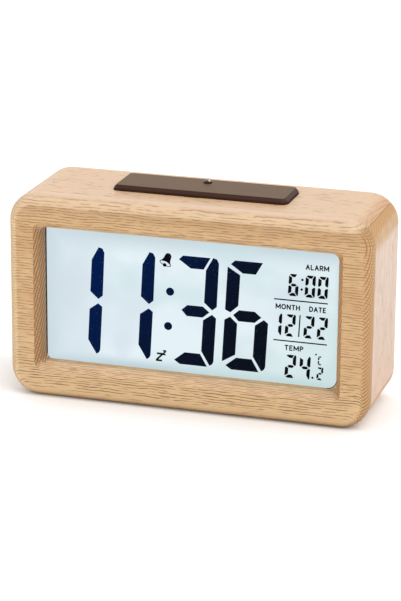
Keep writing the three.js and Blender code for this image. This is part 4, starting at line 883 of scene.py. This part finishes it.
def inked(outlines, front=INK_FRONT, back=INK_BACK, lift=0.0):
    """Thin solid prints from closed outlines of (x, z). A lift keeps crossing strokes off a shared plane."""
    form = bmesh.new()
    for place, outline in enumerate(outlines):
        level = front + lift * (place % LIFT_STEPS)
        face = form.faces.new([form.verts.new((x * MM, level * MM, z * MM)) for x, z in outline])
        rest = bmesh.ops.extrude_face_region(form, geom=[face])
        moved = [item for item in rest["geom"] if isinstance(item, bmesh.types.BMVert)]
        bmesh.ops.translate(form, verts=moved, vec=(0, (back - level) * MM, 0))
    return to_mesh(form)


def digit(numeral, x, z, width, height, stroke):
    """Segment outlines of a numeral whose middle is at x, z."""
    outlines = []
    for name in NUMERALS[numeral]:
        corners = []
        for side, inwards, end, depth in SEGMENTS[name]:
            u = side * (width / 2 - inwards * stroke)
            v = end * (height / 2 - depth * stroke) if end else depth * stroke
            corners.append((x + u + DIGIT_SLANT * v, z + v))
        outlines.append(corners)
    return outlines


def arc(x, z, width, height, start, end, steps=10):
    """Points on an ellipse from one angle to another, in degrees."""
    angles = [math.radians(start + (end - start) * step / steps) for step in range(steps + 1)]
    return [(x + width / 2 * math.cos(angle), z + height / 2 * math.sin(angle)) for angle in angles]


def oval(x, z, width, height, sides=24):
    """A closed ellipse."""
    return arc(x, z, width, height, 0, 360, sides)[:-1]


def bar(x0, z0, x1, z1, width, over=0.0):
    """A straight stroke from one point to another, longer at both ends by what it runs over."""
    run = Vector((x1 - x0, z1 - z0)).normalized()
    aside = Vector((-run.y, run.x)) * width / 2
    start = Vector((x0, z0)) - run * over
    end = Vector((x1, z1)) + run * over
    return [tuple(start + aside), tuple(start - aside), tuple(end - aside), tuple(end + aside)]


def ring(outer, inner):
    """A closed band between two outlines of equal length, as a row of four-sided pieces."""
    return [
        [outer[place - 1], outer[place], inner[place], inner[place - 1]]
        for place in range(len(outer))
    ]


def rounded(low, high, radius):
    """Outline of a rectangle between two corners, with rounded corners."""
    points = []
    for quarter in range(4):
        x = high[0] - radius if quarter in (0, 3) else low[0] + radius
        z = high[1] - radius if quarter in (0, 1) else low[1] + radius
        points += arc(x, z, 2 * radius, 2 * radius, 90 * quarter, 90 * quarter + 90, EDGE_STEPS)
    return points


# Strokes of the capitals in a square of side 1, after the share of its height that a letter is wide
BOWL = [(0, 1), (0.5, 1), *arc(0.5, 0.74, 1, 0.52, 90, -90), (0.5, 0.48), (0, 0.48)]
LETTERS = {
    "A": (0.78, [[(0, 0), (0.5, 1), (1, 0)], [(0.18, 0.34), (0.82, 0.34)]]),
    "D": (0.74, [[(0, 0), (0, 1), (0.35, 1), *arc(0.35, 0.5, 1.3, 1, 90, -90), (0.35, 0), (0, 0)]]),
    "E": (0.56, [[(1, 0), (0, 0), (0, 1), (1, 1)], [(0, 0.52), (0.86, 0.52)]]),
    "F": (0.54, [[(0, 0), (0, 1), (1, 1)], [(0, 0.5), (0.84, 0.5)]]),
    "H": (0.72, [[(0, 0), (0, 1)], [(1, 0), (1, 1)], [(0, 0.52), (1, 0.52)]]),
    "L": (0.54, [[(0, 1), (0, 0), (1, 0)]]),
    "M": (1.0, [[(0, 0), (0, 1), (0.5, 0.2), (1, 1), (1, 0)]]),
    "N": (0.74, [[(0, 0), (0, 1), (1, 0), (1, 1)]]),
    "O": (0.86, [arc(0.5, 0.5, 1, 1, 0, 360, 20)]),
    "P": (0.6, [[(0, 0), *BOWL]]),
    "R": (0.64, [[(0, 0), *BOWL], [(0.45, 0.48), (1, 0)]]),
    "S": (0.6, [[*arc(0.5, 0.75, 0.96, 0.5, 25, 270), *arc(0.5, 0.25, 1, 0.5, 90, -155)]]),
    "T": (0.68, [[(0, 1), (1, 1)], [(0.5, 1), (0.5, 0)]]),
    "U": (0.72, [[(0, 1), *arc(0.5, 0.36, 1, 0.72, 180, 360), (1, 1)]]),
    "W": (1.05, [[(0, 1), (0.26, 0), (0.5, 0.92), (0.74, 0), (1, 1)]]),
}


def words(text, x, z, height, width, weight, side=1):
    """Stroke outlines of capitals of a given height, spread to a given width. Side -1 faces the back."""
    full = sum(LETTERS[letter][0] for letter in text) + LETTER_GAP * (len(text) - 1)
    scale = (width - weight) / full
    outlines = []
    start = -full / 2
    for letter in text:
        share, strokes = LETTERS[letter]
        for stroke in strokes:
            points = [
                (x + side * (start + u * share) * scale, z + v * (height - weight) + weight / 2)
                for u, v in stroke
            ]
            outlines += [
                bar(*first, *second, weight, weight * STROKE_OVERRUN)
                for first, second in zip(points, points[1:])
                if first != second
            ]
        start += share + LETTER_GAP
    return outlines


# Prints of the display: digits, legends and rules, signs, and its edge, whose dark part is painted shadow

def add_print(name, outlines, ink):
    add_piece(name, inked(outlines), ink)


for name, row in DIGIT_ROWS.items():
    outlines = [oval(x, z, 2 * radius, 2 * radius) for x, z, radius in row["dots"]]
    for numeral, x in row["numerals"]:
        outlines += digit(numeral, x, **row["size"])
    add_print(name, outlines, big_ink if name == "time_digits" else small_ink)

add_print("display_rules", [bar(*rule, RULE_WEIGHT) for rule in RULES], legend_ink)
for text, x, z, width in DISPLAY_LEGENDS:
    outlines = words(text, x, z, DISPLAY_LEGEND_HEIGHT, width, LEGEND_WEIGHT)
    add_print(f"legend_{text.lower()}", outlines, legend_ink)


def on_bell(points):
    """Points of the bell sign, tilted and put in its place."""
    tilt = Matrix.Rotation(math.radians(BELL_TURN), 2)
    return [tuple(tilt @ Vector(point) + Vector(BELL_PLACE)) for point in points]


bell_left = [(-x, z) for x, z in reversed(BELL_HALF[1:])]
bell_outlines = [on_bell([*BELL_HALF, (0, BELL_MOUTH_DIP), *bell_left]), on_bell(oval(*BELL_CLAPPER))]
bell_outlines += ring(on_bell(oval(*BELL_MOUTH)), on_bell(oval(*BELL_MOUTH_INSIDE)))
add_print("bell_icon", bell_outlines, small_ink)

sleep_outlines = []
for x, z, size, weight in SLEEP_SIGNS:
    half = size / 2
    upper, lower = z + half, z - half
    sleep_outlines += [
        bar(x - half * SLEEP_FREE_END, upper, x + half * SLEEP_JOINED_END, upper, weight),
        bar(x + half * SLEEP_SLANT, upper, x - half * SLEEP_SLANT, lower, weight),
        bar(x - half * SLEEP_JOINED_END, lower, x + half * SLEEP_FREE_END, lower, weight),
    ]
add_print("snooze_icon", sleep_outlines, small_ink)

left, foot = WINDOW_LOW
right, top = WINDOW_HIGH
edge_outer = rounded(
    (left - EDGE_COVERED, foot - EDGE_COVERED),
    (right + EDGE_COVERED, top + EDGE_COVERED),
    WINDOW_RADIUS)
corner_x, corner_z = EDGE_HIGH[0] - CORNER_RADIUS, EDGE_LOW[1] + CORNER_RADIUS
corner_outer, corner_inner = [
    arc(corner_x, corner_z, 2 * radius, 2 * radius, 270, 360, EDGE_STEPS)
    for radius in (CORNER_RADIUS + CORNER_LINE, CORNER_RADIUS)
]
edge_inner = rounded(EDGE_LOW, EDGE_HIGH, EDGE_RADIUS)[:-len(corner_inner)] + corner_inner

# The pieces of this band start with the right side and go on by the top and the left to the foot
edge = ring(edge_outer, edge_inner)
foot_start = 2 * (EDGE_STEPS + 1) + 1
corner_line = ring(corner_outer, corner_inner)[1:]
# Painted shadow along the top and the left and round the lower right corner
add_print("display_edge_shadow", edge[1:foot_start] + corner_line, edge_shadow_paint)
foot_edge = inked(edge[foot_start:] + edge[:1], front=INK_FRONT + EDGE_DROP)
add_piece("display_foot_edge", foot_edge, foot_ink)

# Legends printed beside the keys on the back cover
cover_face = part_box("back_cover")[1].y / MM
for text, x, z, width in KEY_LEGENDS:
    outlines = words(text, x, z, KEY_LEGEND_HEIGHT, width, LEGEND_WEIGHT, side=-1)
    mesh = inked(outlines, cover_face + PRINT_RISE, cover_face, PRINT_LIFT)
    add_piece(f"key_legend_{text.lower()}", mesh, legend_print)


# Return springs of the snooze bar

def wound(low, high):
    """A compression spring that fills a box, with end turns that lie flat."""
    middle = (low + high) / 2
    radius = (high.x - low.x) / 2 - SPRING_WIRE
    free_turns = SPRING_TURNS - 2
    rise = high.z - low.z - 2 * SPRING_WIRE - 2 * SPRING_END_PITCH
    form = bmesh.new()
    loops = []
    for step in range(SPRING_TURNS * SPRING_STEPS + 1):
        turn = step / SPRING_STEPS
        end_turns = min(turn, 1) + max(turn - SPRING_TURNS + 1, 0)
        free_share = min(max(turn - 1, 0), free_turns) / free_turns
        z = low.z + SPRING_WIRE + SPRING_END_PITCH * end_turns + rise * free_share
        out = Vector((math.cos(2 * math.pi * turn), math.sin(2 * math.pi * turn), 0))
        centre = Vector((middle.x, middle.y, z)) + out * radius
        section = oval(0, 0, 2 * SPRING_WIRE, 2 * SPRING_WIRE, SPRING_SIDES)
        loops.append([form.verts.new((centre + out * u + Vector((0, 0, v))) * MM) for u, v in section])
    for here, after in zip(loops, loops[1:]):
        for quad in ring(here, after):
            form.faces.new(quad)
    form.faces.new(loops[0])
    form.faces.new(loops[-1])
    for face in form.faces:
        face.smooth = True
    return to_mesh(form)


for side in ("left", "right"):
    node = f"snooze_spring_{side}"
    low, high = [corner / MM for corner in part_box(node)]
    spring = add_piece(f"return_spring_{side}", wound(low, high), steel)
    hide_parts(node)
    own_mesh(spring)

# Floor, light and camera
floor_form = bmesh.new()
bmesh.ops.create_grid(floor_form, x_segments=1, y_segments=1, size=FLOOR_REACH * MM)
floor_shader = Shader("floor_white", roughness=0.7)
floor_shader.set("Base Color", (FLOOR_TONE, FLOOR_TONE, FLOOR_TONE))
floor_mesh = to_mesh(floor_form)
floor_mesh.materials.append(floor_shader.material)
floor = bpy.data.objects.new("floor", floor_mesh)
floor.location.z = -FLOOR_DROP * MM
bpy.context.scene.collection.objects.link(floor)

world = bpy.data.worlds.new("studio")
bpy.context.scene.world = world
world.use_nodes = True
background = world.node_tree.nodes["Background"]
background.inputs["Color"].default_value = (1, 1, 1, 1)
background.inputs["Strength"].default_value = WORLD_STRENGTH

key_light = bpy.data.lights.new("key", "SUN")
key_light.energy = KEY_STRENGTH
key_light.angle = math.radians(KEY_SOFTNESS)
key = bpy.data.objects.new("key", key_light)
key.rotation_euler = Vector(KEY_FROM).to_track_quat("Z", "Y").to_euler()
bpy.context.scene.collection.objects.link(key)

camera_data = bpy.data.cameras.new("camera")
camera_data.lens = CAMERA_LENS
camera_data.clip_start = CAMERA_NEAR * MM
camera = bpy.data.objects.new("camera", camera_data)
turn = (
    Matrix.Rotation(math.radians(CAMERA_YAW), 4, "Z")
    @ Matrix.Rotation(math.radians(90 - CAMERA_PITCH), 4, "X")
    @ Matrix.Rotation(math.radians(CAMERA_ROLL), 4, "Z")
)
camera.matrix_world = Matrix.Translation(Vector(CAMERA_PLACE) * MM) @ turn
bpy.context.scene.collection.objects.link(camera)
bpy.context.scene.camera = camera
bpy.context.scene.view_settings.view_transform = "Standard"
